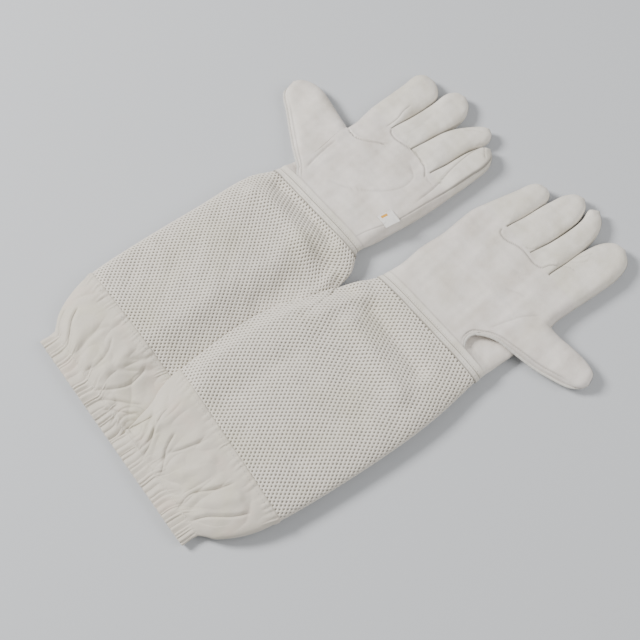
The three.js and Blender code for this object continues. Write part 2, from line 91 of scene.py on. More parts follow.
# Plan outlines, the same as in the part's source.
LEFT = dict(
    name="left", out=1, knuckles=148.0, lattice=(5.7, 4.25, -0.12),
    seam=(-183.0, -187.0), turn=12.0, wrist=(37.5, 28.0),  # X at the little side, X at the thumb side
    sleeve_thumb=[
        (-261, 126), (-245, 127), (-232, 138.5), (-210, 149), (-187, 154.5), (-130, 156),
        (-60, 154), (0, 152), (28, 142), (40, 141.8), (60, 141.8),
    ],
    sleeve_little=[
        (-261, 2.2), (-245, 1.9), (-240, 2.0), (-228, -1), (-214, -3), (-205, -4), (-183, -8), (-120, -9),
        (-50, -6), (-15, -1), (5, 4.5), (22, 8.5), (33, 17), (37.5, 22.5), (60, 22.5),
    ],
    hand_little=[(36, 22.5), (45, 22.5), (60, 20.5), (80, 19), (100, 17.2), (125, 16.2), (148, 16.6)],
    hand_thumb=[
        (27, 141.8), (36, 141.8), (50, 140.6), (80, 139.8), (114, 139.8), (125, 140), (135, 142),
        (148, 144.6),
    ],
    palm_thumb=[
        (30, 112), (37, 118), (41, 123.5), (46, 128.6), (80, 134), (114, 139.6), (125, 140), (135, 142),
        (148, 144.6),
    ],
    thumb_outer=[(46, 129.0), (52.3, 144), (62, 163.5), (76, 190.5), (88, 212.5), (102, 218)],
    thumb_inner=[
        (114.2, 139.8), (116, 154), (118.5, 172), (120.3, 190), (117.5, 204), (110, 214.5), (102, 218),
    ],
    heel_inner=[(30, 104), (37, 108), (46, 118), (54, 130), (60, 142)],
    welt_drop=(0.0, 0.42),
    welt_start=17.6,
    fingers=dict(
        index=(
            [(148, 111.2), (198, 111.5), (211, 115), (218, 123), (220.5, 132)],
            [(148, 144.6), (190, 147), (208, 148.5), (217, 143), (220.5, 132)],
        ),
        middle=(
            [(148, 80), (175, 79.8), (205, 77), (220, 79.6), (231, 88), (235, 98)],
            [(148, 110), (200, 110.3), (220, 112.3), (231, 107), (235, 98)],
        ),
        ring=(
            [(148, 47.3), (200, 45.8), (219, 42.7), (228, 46.5), (231.5, 54.5)],
            [(148, 78.9), (175, 78.5), (199, 75), (216, 67.5), (227, 60.5), (231.5, 54.5)],
        ),
        little=(
            [(148, 16.6), (190, 18), (204, 20.5), (213, 27), (217.5, 35)],
            [(148, 46.3), (200, 44.5), (213, 41), (217.5, 35)],
        ),
    ),
)
RIGHT = dict(
    name="right", out=-1, knuckles=173.0, lattice=(6.05, 4.3, 0.0),
    seam=(-173.0, -180.0), turn=20.0, wrist=(42.0, 52.0),
    sleeve_thumb=[
        (-261, -117.5), (-245, -119), (-233, -132), (-210, -145), (-185, -151.5), (-130, -157),
        (-50, -160), (0, -158), (52, -151.2), (75, -151.2),
    ],
    sleeve_little=[
        (-261, 2.0), (-245, 2.2), (-240, 2.5), (-228, 5), (-214, 8), (-206, 11), (-196, 16), (-180, 20),
        (-100, 25), (-55, 20), (-30, 11.5), (5, 2.5), (24, -6), (42, -12.5), (52, -12.8), (75, -12.8),
    ],
    hand_little=[
        (40, -12.5), (49, -12.8), (70, -13), (90, -10.6), (120, -11), (145, -8.5), (160, -7.7), (173, -10),
    ],
    hand_thumb=[
        (50, -151.2), (59, -151.2), (95, -151.4), (120, -151.4), (142, -150.8), (152, -149), (173, -149),
    ],
    palm_thumb=[
        (50, -127), (57, -121), (62, -116), (69, -113.3), (77, -114.6), (84, -118.6), (142, -150.6),
        (152, -149), (173, -149),
    ],
    thumb_outer=[
        (77, -115), (84, -122), (91, -133), (96.5, -150), (103, -171), (110, -189), (118, -206),
        (126, -215), (134, -217),
    ],
    thumb_inner=[(142, -150.6), (142.5, -162), (145.5, -180), (147.3, -198), (144.5, -211), (134, -217)],
    heel_inner=[(50, -112), (57, -107), (68, -101), (80, -104), (94, -120), (106, -140)],
    welt_drop=(0.05, 0.62),
    welt_start=18.6,
    fingers=dict(
        index=(
            [(173, -109.4), (218, -108.2), (240, -112), (251, -120), (254, -131)],
            [(173, -149), (205, -150), (228, -149.5), (245, -144), (254, -131)],
        ),
        middle=(
            [(173, -80.4), (215, -82.8), (240, -80.6), (254, -76), (261.5, -83)],
            [(173, -108.4), (218, -107), (240, -103), (254, -95), (261.5, -83)],
        ),
        ring=(
            [(173, -45.2), (226, -47), (245, -49.5), (255, -56), (258.3, -64)],
            [(173, -79.4), (215, -81.6), (238, -79.2), (252, -73), (258.3, -64)],
        ),
        little=(
            [(173, -10), (190, -13), (210, -17), (224, -19.5), (232, -25), (235.3, -33)],
            [(173, -44.2), (215, -45.6), (226, -44.4), (233, -40), (235.3, -33)],
        ),
    ),
)
# Sides of a finger that face another finger and hold a strip: little side, thumb side.
INNER_SIDES = dict(index=(True, False), middle=(True, True), ring=(True, True), little=(False, True))

# Creases pressed into the leather and cloth: kind, depth, width, then the line's points.
HAND_LINES = dict(
    left=[
        ("seam", 1.25, 0.9, [
            (148.5, 111), (144, 106), (143, 99), (145, 89), (148, 81), (150, 74), (149, 64), (147, 55),
            (143, 49), (139, 45),
        ]),
        ("fold", 2.6, 0.75, [(114, 139), (111, 130), (113, 120), (121, 109.5), (129.5, 101), (136, 95)]),
        ("fold", 0.8, 1.0, [(142, 115), (160, 116), (170, 119), (182, 120)]),
        ("valley", 0.75, 1.5, [(49, 123), (65, 127), (81, 130), (95, 131)]),
        ("valley", 0.6, 1.6, [
            (60, 100), (67, 87), (79, 72), (103, 54), (118, 50), (131, 53), (136, 62), (139, 74),
        ]),
        ("groove", 0.5, 0.6, [(38, 35.5), (56, 32), (74, 27), (91, 23.7), (108, 22.5)]),
        ("ledge", 1.5, 0.8, [
            (100, 23), (114, 22.5), (144, 21.6), (160, 21.2), (180, 21.6), (198, 22), (210, 26), (214, 31),
        ]),
        ("fold", 1.0, 1.4, [(214, 42), (203, 42), (180, 40), (160, 36), (140, 31), (112, 28)]),
        ("valley", 0.5, 1.2, [(144, 50), (141, 41), (142, 33)]),
        ("valley", 0.3, 1.6, [(150, 98), (170, 96), (196, 100)]),
        ("ridge", 0.6, 4.0, [(60, 122), (85, 118), (108, 108), (126, 92)]),
        ("valley", 0.4, 1.5, [(206, 66), (215, 60), (222, 51)]),
        ("ridge", 0.5, 3.0, [(152, 64), (175, 63), (205, 59)]),
        ("fold", 0.9, 1.0, [(219, 43), (212, 39), (206, 32), (203, 26)]),
        ("valley", 0.5, 1.0, [(206, 46), (213, 44), (217, 39)]),
    ],
    right=[
        ("seam", 1.3, 0.9, [
            (169, -43), (163, -46), (162, -51), (163, -57), (167, -66), (169, -76), (169, -91), (172, -99),
            (180, -102), (187, -108),
        ]),
        ("valley", 0.5, 1.8, [(88, -118), (110, -124), (125, -129), (142, -139)]),
        ("valley", 0.7, 0.9, [(189, -109), (194, -114), (197, -122)]),
        ("valley", 0.6, 0.9, [(200, -109.5), (206, -116), (216, -121)]),
        ("valley", 0.5, 1.0, [(209, -110), (215, -114), (224, -117)]),
        ("valley", 0.7, 1.0, [(172, -73), (178, -78), (185, -81)]),
        ("valley", 0.35, 1.8, [(128, -96), (136, -106), (139, -116)]),
        ("valley", 0.3, 1.6, [(146, -84), (152, -94), (161, -99)]),
        ("ridge", 0.6, 6.0, [(70, -40), (100, -34), (140, -32), (170, -30)]),
        ("ridge", 0.5, 5.0, [(100, -122), (120, -140), (128, -165), (130, -190)]),
    ],
)
SLEEVE_LINES = dict(
    left=[
        ("ridge", 2.6, 9.0, [(-16, 146), (-3, 122), (0, 98), (1, 77), (-2, 50), (-8, 34)]),
        ("valley", 2.6, 7.0, [(14, 138), (19, 115), (22, 90), (24, 60), (25, 32)]),
        ("valley", 1.0, 9.0, [(-6, 62), (-20, 42), (-48, 34), (-84, 38)]),
        ("ridge", 1.5, 7.0, [(16, 20), (-8, 11), (-40, 13), (-78, 20)]),
        ("valley", 0.8, 14.0, [(-60, 136), (-44, 110), (-36, 80), (-44, 56)]),
        ("valley", 1.0, 16.0, [(-170, 130), (-120, 110), (-70, 120)]),
        ("ridge", 1.0, 14.0, [(-175, 70), (-120, 60), (-80, 80)]),
    ],
    right=[
        ("ridge", 2.4, 11.0, [(-12, -22), (-14, -60), (-17, -100), (-20, -140)]),
        ("valley", 2.8, 9.0, [(15, -22), (13, -55), (11, -90), (9, -130)]),
        ("ridge", 1.2, 7.0, [(38, -30), (38, -70), (36, -110)]),
        ("ridge", 2.0, 11.0, [(-176, 8), (-130, 11), (-80, 11), (-30, 2), (10, -8)]),
        ("valley", 1.0, 14.0, [(-170, -30), (-120, -24), (-60, -30)]),
        ("valley", 1.0, 18.0, [(-150, -120), (-90, -110), (-50, -130)]),
    ],
)
CUFF_LINES = dict(
    left=[
        ("soft", 2.2, 2.0, [(-244, 104), (-236, 112), (-226, 122), (-213, 130)]),
        ("soft", 2.0, 1.8, [(-250, 44), (-238, 34), (-226, 22), (-216, 12)]),
        ("soft", 2.0, 2.0, [(-250, 56), (-237, 46), (-222, 38), (-206, 38), (-190, 44)]),
        ("soft", 1.6, 1.8, [(-252, 34), (-241, 24), (-232, 14), (-226, 8)]),
        ("soft", 1.5, 2.2, [(-246, 74), (-230, 70), (-216, 74), (-204, 84)]),
        ("valley", 1.4, 4.0, [(-246, 90), (-230, 96), (-212, 98), (-196, 92)]),
        ("soft", 1.4, 2.0, [(-246, 118), (-236, 130), (-224, 137)]),
        ("ridge", 1.5, 6.0, [(-234, 60), (-214, 58), (-194, 62)]),
    ],
    right=[
        ("soft", 2.0, 1.8, [(-244, -54), (-238, -51), (-225, -39), (-208, -30)]),
        ("soft", 1.8, 2.0, [(-226, -42), (-212, -48), (-200, -51), (-178, -56)]),
        ("soft", 2.2, 2.0, [(-250, -89), (-230, -86), (-210, -96), (-188, -103)]),
        ("soft", 2.4, 2.0, [(-245, -104), (-230, -111), (-210, -126), (-194, -133)]),
        ("valley", 1.4, 3.0, [(-250, -20), (-238, -16), (-224, -6), (-212, 2)]),
        ("soft", 1.8, 1.8, [(-250, -30), (-236, -26), (-222, -16), (-208, -8), (-196, -6)]),
        ("ridge", 1.8, 6.0, [(-232, -66), (-212, -70), (-190, -74)]),
        ("ridge", 1.6, 6.0, [(-230, -98), (-210, -110), (-190, -118)]),
    ],
)


# Crumpled rings in the cloth round the spot where the two hems press together.
MEETING = (-238.0, -1.0)
for side, turns in (("left", (12, 50, 95, 140)), ("right", (-10, -45, -85, -120))):
    for radius in (9.0, 15.0, 22.0):
        ring = [(MEETING[0] + radius * math.cos(a), MEETING[1] + radius * math.sin(a))
                for a in map(math.radians, turns)]
        CUFF_LINES[side].append(("soft", 1.5, 1.5, ring))


def mix(a, b, t):
    return a + (b - a) * t


def smooth(x, a, b):
    u = np.clip((np.asarray(x, float) - a) / (b - a), 0, 1)
    return u * u * (3 - 2 * u)


def bulge(x, power):
    return np.sign(x) * np.abs(x) ** (2 / power)


def through(points):
    """Height of y along a smooth line through points whose x grows."""
    px, py = np.array(points, float).T
    n = len(px)
    before, after = np.maximum(np.arange(n) - 1, 0), np.minimum(np.arange(n) + 1, n - 1)
    slope = (py[after] - py[before]) / (px[after] - px[before])

    def at(x):
        x = np.asarray(x, float)
        k = np.clip(np.searchsorted(px, x), 1, n - 1)
        span = px[k] - px[k - 1]
        u = np.clip((x - px[k - 1]) / span, 0, 1)
        bend = slope[k - 1] * u * (1 - u) ** 2 - slope[k] * (1 - u) * u**2
        return mix(py[k - 1], py[k], u * u * (3 - 2 * u)) + span * bend

    return at


def spline(points, count=10):
    """A smooth plan line through the points, as a dense polyline."""
    p = np.array(points, float)
    p = np.vstack([2 * p[0] - p[1], p, 2 * p[-1] - p[-2]])
    out = []
    u = np.linspace(0, 1, count, endpoint=False)[:, None]
    for a, b, c, d in zip(p, p[1:], p[2:], p[3:]):
        t0, t1, t2 = (math.dist(m, n) ** 0.5 for m, n in ((a, b), (b, c), (c, d)))
        m1 = ((b - a) / t0 - (c - a) / (t0 + t1) + (c - b) / t1) * t1
        m2 = ((c - b) / t1 - (d - b) / (t1 + t2) + (d - c) / t2) * t1
        out.append((2 * u**3 - 3 * u**2 + 1) * b + (u**3 - 2 * u**2 + u) * m1
                   + (3 * u**2 - 2 * u**3) * c + (u**3 - u**2) * m2)
    return np.vstack(out + [p[-2:-1]])


def shares(line):
    d = np.r_[0, np.cumsum(np.hypot(*np.diff(line, axis=0).T))]
    return d / d[-1], d[-1]


def along(line, t):
    """Points of a polyline at shares t of its length."""
    share, _ = shares(line)
    return np.stack([np.interp(t, share, line[:, k]) for k in range(line.shape[1])], -1)


def nearest(points, line):
    """Distance of each point from a polyline, share of the line's length there, and the side."""
    share, _ = shares(line)
    a, ab = line[:-1], np.diff(line, axis=0)
    square = (ab**2).sum(1)
    flat = points.reshape(-1, 2)
    dist, at, side = np.empty(len(flat)), np.empty(len(flat)), np.empty(len(flat))
    step = 20000
    for i in range(0, len(flat), step):
        ap = flat[i:i + step, None] - a
        t = np.clip((ap * ab).sum(-1) / square, 0, 1)
        d2 = ((ap - t[..., None] * ab) ** 2).sum(-1)
        j = d2.argmin(1)
        r = np.arange(len(j))
        dist[i:i + step] = np.sqrt(d2[r, j])
        at[i:i + step] = share[j] + t[r, j] * (share[j + 1] - share[j])
        side[i:i + step] = np.sign(ab[j, 0] * ap[r, j, 1] - ab[j, 1] * ap[r, j, 0])
    shape = points.shape[:-1]
    return dist.reshape(shape), at.reshape(shape), side.reshape(shape)


def wobble(p, size, seed, waves=7):
    """Smooth seeded unevenness of about -1 to 1 with hollows of the given size."""
    r = np.random.default_rng(seed)
    out = 0
    for _ in range(waves):
        turn, phase = r.uniform(0, math.tau, 2)
        k = math.tau / (size * r.uniform(0.7, 1.6))
        out = out + np.sin(k * (p[..., 0] * math.cos(turn) + p[..., 1] * math.sin(turn)) + phase)
    return out / math.sqrt(waves * 2)


def crumple(p, size, seed):
    """Pillowy cloth between wandering creases, from 0 in a crease to about 1."""
    drift = np.stack([wobble(p, size * 1.4, seed + 1), wobble(p, size * 1.4, seed + 2)], -1)
    return np.minimum(np.abs(wobble(p + 0.4 * size * drift, size, seed)), 1.2) ** 0.75


def dip(d, width):
    """1 on a line, fading with distance d from it."""
    return np.exp(-((d / width) ** 2))


# For each kind of crease: height and reach of the roll on one side, share and reach of the one on the
# other side, depth and width of the dip, strength and width of the painted shade in it. Heights and depths
# are shares of the line's own depth, and reaches and widths are shares of its width.
CREASES = dict(
    valley=(0, 1, 0, 1, 1, 1, 0.5, 0.5),
    ridge=(0, 1, 0, 1, -1, 1, 0, 1),
    fold=(0.7, 2.6, 0.35, 3.5, 1, 1, 0.8, 0.45),
    soft=(0.75, 3.2, 0.5, 4.5, 0.85, 0.9, 0.42, 0.5),
    groove=(0, 1, 0, 1, 1, 1, 0.45, 1),
)


def crease(kind, d, side, depth, width):
    """Height and grime at distance d from a crease, with a roll beside it where its kind has one."""
    rise, reach, far, far_reach, deep, spread, painted_shade, painted_shade_width = CREASES[kind]
    beside = np.where(side > 0, np.exp(-d / (reach * width)), far * np.exp(-d / (far_reach * width)))
    # The shade is painted: it darkens the colour in the dip, where the fold's shadow falls.
    shade = painted_shade * dip(d, painted_shade_width * width) * (min(depth, 1) if kind in ("valley", "fold") else 1)
    return depth * (rise * beside - deep * dip(d, spread * width)), shade


def ledge(d, side, depth, width, share):
    """One layer's edge standing over the next, higher toward the line's end."""
    growth = smooth(share, 0.2, 0.6)
    height = depth * (np.where(side > 0, 0.9 * np.exp(-d / 5), 0) - 0.8 * dip(d, width))
    # The second value is painted shade under the standing edge.
    return height * (0.45 + 0.55 * growth), (0.3 + 0.55 * growth) * dip(d, 0.65)


def inner_seam(d, depth, width, distance):
    """A groove with the leather swelling and puckering on both sides."""
    pucker = 0.16 * np.cos(distance * math.tau / PUCKER) * np.exp(-d / 3.5) * np.minimum(d / 1.2, 1)
    # The second value is painted shade in the seam's groove.
    return depth * (0.7 * np.exp(-d / 3.2) + pucker - 1.15 * dip(d, width)), 0.8 * dip(d, 0.7)


def press(p, lines):
    """Height that creases, folds, seams and ridges add at the plan points p, and the painted shade in them.
    """
    out, dark = np.zeros(p.shape[:-1]), np.zeros(p.shape[:-1])
    for kind, depth, width, points in lines:
        line = spline(points)
        reach = 6 * width + 6
        near = ((p >= line.min(0) - reach) & (p <= line.max(0) + reach)).all(-1)
        if not near.any():
            continue
        d, share, side = nearest(p[near], line)
        start, end = 0.16, 0.16  # shares of the line over which it fades in and out
        if kind == "ledge":
            start, end = 0.03, 0.05
            height, shade = ledge(d, side, depth, width, share)
        elif kind == "seam":
            start, end = 0.05, 0.05
            height, shade = inner_seam(d, depth, width, share * shares(line)[1])
        else:
            height, shade = crease(kind, d, side, depth, width)
        ends = smooth(share, 0, start) * smooth(1 - share, 0, end)
        out[near] += height * ends
        dark[near] = np.maximum(dark[near], shade * ends)
    return out, dark


# ---------------------------------------------------------------- meshes

def grid_faces(rows, columns, wrap=False):
    i, j = np.meshgrid(np.arange(rows - 1), np.arange(columns if wrap else columns - 1), indexing="ij")
    here, below, k = i * columns, (i + 1) * columns, (j + 1) % columns
    return np.stack([here + j, below + j, below + k, here + k], -1).reshape(-1, 4)


def grid_normals(g, wrap=False):
    across = (np.roll(g, -1, axis=1) - np.roll(g, 1, axis=1)) / 2 if wrap else np.gradient(g, axis=1)
    n = np.cross(np.gradient(g, axis=0), across)
    return n / np.maximum(np.linalg.norm(n, axis=-1, keepdims=True), 1e-9)


def make(name, verts, faces, material, flow=None, dark=None):
    """A smooth-shaded mesh object from millimetre vertices and quads."""
    verts = np.stack([verts[:, 0], verts[:, 1], np.maximum(verts[:, 2], FLOOR_GAP)], -1)
    mesh = bpy.data.meshes.new(name)
    mesh.vertices.add(len(verts))
    mesh.vertices.foreach_set("co", (verts * MM).astype(np.float32).ravel())
    mesh.loops.add(faces.size)
    mesh.loops.foreach_set("vertex_index", faces.astype(np.int32).ravel())
    mesh.polygons.add(len(faces))
    mesh.polygons.foreach_set("loop_start", np.arange(0, faces.size, 4, dtype=np.int32))
    mesh.update(calc_edges=True)
    mesh.polygons.foreach_set("use_smooth", np.ones(len(faces), bool))
    rest = mesh.attributes.new("rest", "FLOAT_VECTOR", "POINT")
    rest.data.foreach_set("vector", (verts if flow is None else flow).astype(np.float32).ravel())
    # The crease attribute holds painted shade in creases, seams, gaps and hollows, which darkens the colour.
    if dark is not None:
        mesh.attributes.new("crease", "FLOAT", "POINT").data.foreach_set("value", dark.astype(np.float32))
    mesh.materials.append(material)
    piece = bpy.data.objects.new(name, mesh)
    bpy.context.scene.collection.objects.link(piece)
    return piece


def leaf(name, grid, material, up=1, thick=LEATHER, wrap=False, flow=None, reference=None, dark=None):
    """A sheet from a grid of points, with its cut edges turned down by its thickness."""
    rows, columns, _ = grid.shape
    normals = grid_normals(grid, wrap)
    facing = normals[..., 2] * up if reference is None else normals * reference
    sign = np.sign(np.nansum(facing))
    normals = normals * sign
    flow = grid if flow is None else flow
    dark = np.zeros((rows, columns)) if dark is None else dark
    faces = grid_faces(rows, columns, wrap)
    verts, flows, darks = [grid.reshape(-1, 3)], [flow.reshape(-1, 3)], [dark.ravel()]
    parts, count = [faces if sign > 0 else faces[:, ::-1]], rows * columns
    borders = [(np.s_[0, :], 1), (np.s_[-1, :], -1)]
    if not wrap:
        borders += [(np.s_[:, 0], -1), (np.s_[:, -1], 1)]
    for cut, turn in borders:
        edge = grid[cut]
        m = len(edge)
        verts.append(np.vstack([edge, edge - normals[cut] * thick]))
        flows.append(np.vstack([flow[cut]] * 2))
        darks.append(np.concatenate([dark[cut]] * 2))
        k = np.arange(m if wrap else m - 1)
        nxt = (k + 1) % m
        side = np.stack([count + k, count + nxt, count + m + nxt, count + m + k], -1)
        parts.append(side if turn * sign > 0 else side[:, ::-1])
        count += 2 * m
    verts, faces = np.vstack(verts), np.vstack(parts)
    return make(name, verts, faces, material, np.vstack(flows), np.concatenate(darks))


def unit(v):
    """Vectors made one long."""
    return v / np.linalg.norm(v, axis=-1, keepdims=True)


def tube(name, path, normal, radius, material, squash=1.0, sides=10):
    """A round or flattened cord along a path."""
    b = unit(np.cross(unit(np.gradient(path, axis=0)), normal))
    n = np.cross(b, unit(np.gradient(path, axis=0)))
    a = np.arange(sides) * math.tau / sides
    ring = np.cos(a)[None, :, None] * b[:, None] + np.sin(a)[None, :, None] * n[:, None] * squash
    verts = path[:, None] + ring * np.broadcast_to(radius, len(path))[:, None, None]
    return make(name, verts.reshape(-1, 3), grid_faces(len(path), sides, True)[:, ::-1], material)


def stitches(name, path, normal, pitch=3.4, length=2.3, radius=0.36, lift=0.12):
    """A row of separate stitches along a path: each a short thread that dips at both ends."""
    share, total = shares(path)
    count = max(int(total / pitch), 1)
    t = (np.arange(count) + 0.5) / count
    up = np.stack([np.interp(t, share, normal[:, k]) for k in range(3)], -1)
    ahead = unit(along(path, np.clip(t + 0.5 / count, 0, 1)) - along(path, np.clip(t - 0.5 / count, 0, 1)))
    up = unit(up - (up * ahead).sum(1, keepdims=True) * ahead)
    frame_axes = (ahead, np.cross(up, ahead), up)
    u = np.array([-1, -0.8, -0.3, 0.3, 0.8, 1])
    width = np.array([0.1, 0.75, 1, 1, 0.75, 0.1])[:, None] * radius
    sides = len(u)
    a = np.arange(sides) * math.tau / sides
    droop = lift - 0.35 * u[:, None] ** 4
    local = (u[:, None] * np.ones(sides) * length / 2, width * np.cos(a), width * np.sin(a) + droop)
    verts = along(path, t)[:, None, None]
    for distance, axis in zip(local, frame_axes):
        verts = verts + distance[None, ..., None] * axis[:, None, None]
    one = grid_faces(sides, sides, True)[:, ::-1]
    faces = (one[None] + (np.arange(count) * sides**2)[:, None, None]).reshape(-1, 4)
    return make(name, verts.reshape(-1, 3), faces, THREAD)


# ---------------------------------------------------------------- materials

class Nodes:
    """Short names for building one material's node tree."""

    def __init__(self, name):
        self.material = bpy.data.materials.new(name)
        self.material.use_nodes = True
        self.tree = self.material.node_tree
        self.tree.nodes.clear()
        self.shader = self.add("ShaderNodeBsdfPrincipled")
        self.tree.links.new(self.shader.outputs[0], self.add("ShaderNodeOutputMaterial").inputs[0])
        self.place = self.add("ShaderNodeAttribute", attribute_name="rest").outputs["Vector"]
        # Painted shade in creases, seams and gaps, read from the crease attribute.
        self.deep = self.add("ShaderNodeAttribute", attribute_name="crease").outputs["Fac"]

    def add(self, kind, **values):
        node = self.tree.nodes.new(kind)
        for key, value in values.items():
            setattr(node, key, value)
        return node

    def feed(self, socket, value):
        if isinstance(value, bpy.types.NodeSocket):
            self.tree.links.new(value, socket)
        else:
            socket.default_value = value

    def texture(self, kind, size, stretch=(1, 1, 1), scale=1.0, **values):
        """A texture node with features of the given size in millimetres, fed by the place at rest."""
        scaled = self.add("ShaderNodeVectorMath", operation="MULTIPLY")
        self.feed(scaled.inputs[0], self.place)
        scaled.inputs[1].default_value = [s / size for s in stretch]
        node = self.add(kind, **values)
        self.feed(node.inputs["Vector"], scaled.outputs[0])
        node.inputs["Scale"].default_value = scale
        return node

    def noise(self, size, detail=3.0, rough=0.55, stretch=(1, 1, 1)):
        node = self.texture("ShaderNodeTexNoise", size, stretch)
        node.inputs["Detail"].default_value = detail
        node.inputs["Roughness"].default_value = rough
        return node.outputs["Fac"]

    def cells(self, size, stretch=(1, 1, 1), feature="F1"):
        return self.texture("ShaderNodeTexVoronoi", size, stretch, feature=feature).outputs["Distance"]

    def wave(self, size, axis, distortion=0.0):
        node = self.texture("ShaderNodeTexWave", size, scale=math.tau / 20, wave_type="BANDS",
                            bands_direction=axis, wave_profile="SIN")
        node.inputs["Distortion"].default_value = distortion
        node.inputs["Detail Scale"].default_value = 0.4
        return node.outputs["Fac"]

    def ramp(self, value, low, colour_low, high, colour_high):
        node = self.add("ShaderNodeValToRGB")
        self.feed(node.inputs[0], value)
        for element, at, colour in zip(node.color_ramp.elements, (low, high), (colour_low, colour_high)):
            element.position, element.color = at, colour
        return node.outputs[0]

    def mask(self, value, low, high):
        return self.ramp(value, low, (0, 0, 0, 1), high, (1, 1, 1, 1))

    def tones(self, value, low, gain, high, tone):
        """A colour that darkens to the gain where the value is low."""
        return self.ramp(value, low, grey(tone, gain), high, grey(tone))

    def math(self, operation, a, b=0.0, c=0.0):
        node = self.add("ShaderNodeMath", operation=operation)
        for socket, value in zip(node.inputs, (a, b, c)):
            self.feed(socket, value)
        return node.outputs[0]

    def blend(self, factor, a, b, strength=None):
        """Colour a with b over it, by a factor times a strength."""
        node = self.add("ShaderNodeMix", data_type="RGBA", blend_type="MIX")
        self.feed(node.inputs[0], factor if strength is None else self.math("MULTIPLY", factor, strength))
        self.feed(node.inputs[6], a)
        self.feed(node.inputs[7], b)
        return node.outputs[2]

    def bump(self, height, strength, distance, below=None):
        node = self.add("ShaderNodeBump")
        node.inputs["Strength"].default_value = strength
        node.inputs["Distance"].default_value = distance * MM
        self.feed(node.inputs["Height"], height)
        if below is not None:
            self.feed(node.inputs["Normal"], below)
        return node.outputs[0]

    def finish(self, colour, roughness, normal, sheen=0.0, specular=0.4):
        s = self.shader.inputs
        self.feed(s["Base Color"], colour)
        self.feed(s["Roughness"], roughness)
        self.feed(s["Normal"], normal)
        s["Sheen Weight"].default_value = sheen
        s["Sheen Roughness"].default_value = 0.5
        s["Specular IOR Level"].default_value = specular
        return self.material


def grey(hex_colour, gain=1.0):
    """A linear colour with alpha from an sRGB hex."""
    rgb = [int(hex_colour[i:i + 2], 16) / 255 for i in (1, 3, 5)]
    linear = [c / 12.92 if c < 0.04045 else ((c + 0.055) / 1.055) ** 2.4 for c in rgb]
    return (*(min(gain * c, 1) for c in linear), 1)


def leather_material(name, pale, warm, grain=1.0):
    """Full-grain goatskin: fine pebbled pores, faint creases, slight mottling, and painted shade in creases
    and gaps.
    """
    n = Nodes(name)
    base = n.ramp(n.noise(26, 4, 0.6), 0.3, grey(warm), 0.62, grey(pale))
    base = n.blend(n.mask(n.noise(60, 2), 0.5, 0.72), base, grey("#cfcabb"), 0.35)
    pores = n.cells(0.9)
    base = n.blend(n.math("SUBTRACT", 0.62, pores), base, grey("#a9a49a"), 0.10)
    # Painted shade: the colour darkens where the crease attribute marks creases, seams and finger gaps.
    base = n.blend(n.deep, base, grey("#69645c"), 0.8)
    fibres = n.noise(1.6, 5, 0.7)
    wrinkles = n.mask(n.cells(7, (1, 1.7, 1), "DISTANCE_TO_EDGE"), 0.0, 0.09)
    normal = n.bump(n.math("ADD", pores, fibres), 0.16 * grain, 0.35)
    normal = n.bump(wrinkles, 0.12 * grain, 0.35, normal)
    normal = n.bump(n.noise(11, 3, 0.5), 0.55 * grain, 0.9, normal)
    return n.finish(base, n.math("MULTIPLY_ADD", fibres, 0.22, 0.52), normal, sheen=0.12, specular=0.35)


def suede_material(name, tone):
    """The inner edges and welts of split leather: fibrous and matt."""
    n = Nodes(name)
    base = n.tones(n.noise(3, 5, 0.7), 0.3, 0.84, 0.7, tone)
    return n.finish(base, 0.88, n.bump(n.noise(0.7, 5, 0.75), 0.4, 0.35), sheen=0.3, specular=0.2)


def net_material(name, tone):
    """Knitted polyester threads of the mesh's face."""
    n = Nodes(name)
    base = n.tones(n.noise(30, 4, 0.6), 0.3, 0.94, 0.7, tone)
    base = n.blend(n.mask(n.noise(70, 2), 0.5, 0.75), base, grey("#d0cbb2"), 0.45)
    loops = n.wave(0.62, "X", 1.5)
    thread = n.bump(n.math("ADD", loops, n.noise(0.5, 3)), 0.35, 0.22)
    return n.finish(base, n.math("MULTIPLY_ADD", loops, 0.12, 0.74), thread, sheen=0.2, specular=0.3)


def lining_material(name, tone):
    """The spacer mesh's fine inner knit, seen through the holes of its face, in a grey that paints the shade
    in the holes.
    """
    n = Nodes(name)
    knit = n.cells(0.9)
    return n.finish(n.tones(knit, 0.0, 0.7, 0.6, tone), 0.9, n.bump(knit, 0.6, 0.4), sheen=0.1, specular=0.2)


def canvas_material(name, tone):
    """Plain-woven cotton: crossing threads, slubs, faint yellowing and pink casts, and painted shade in its
    creases and hollows.
    """
    n = Nodes(name)
    weave = n.math("MAXIMUM", n.wave(0.9, "X", 0.6), n.wave(0.9, "Y", 0.6))
    slub = n.noise(2.2, 3, 0.6, (0.35, 2.4, 1))
    base = n.tones(n.noise(34, 4, 0.6), 0.28, 0.93, 0.68, tone)
    base = n.blend(n.mask(n.noise(48, 3), 0.5, 0.72), base, grey("#cfcab0"), 0.55)
    base = n.blend(n.mask(n.noise(41, 3, 0.5, (1, 1, 1.3)), 0.56, 0.76), base, grey("#dcc2b7"), 0.45)
    base = n.blend(n.math("SUBTRACT", 1.0, weave), base, grey("#9f9b90"), 0.22)
    # Painted shade: darker in the cuff's creases and between its gathers, by the crease attribute.
    base = n.blend(n.deep, base, grey("#77736a"), 0.5)
    normal = n.bump(weave, 0.35, 0.25)
    normal = n.bump(slub, 0.18, 0.3, normal)
    normal = n.bump(n.noise(8, 3, 0.55), 0.3, 0.8, normal)
    return n.finish(base, n.math("MULTIPLY_ADD", slub, 0.1, 0.8), normal, sheen=0.22, specular=0.2)


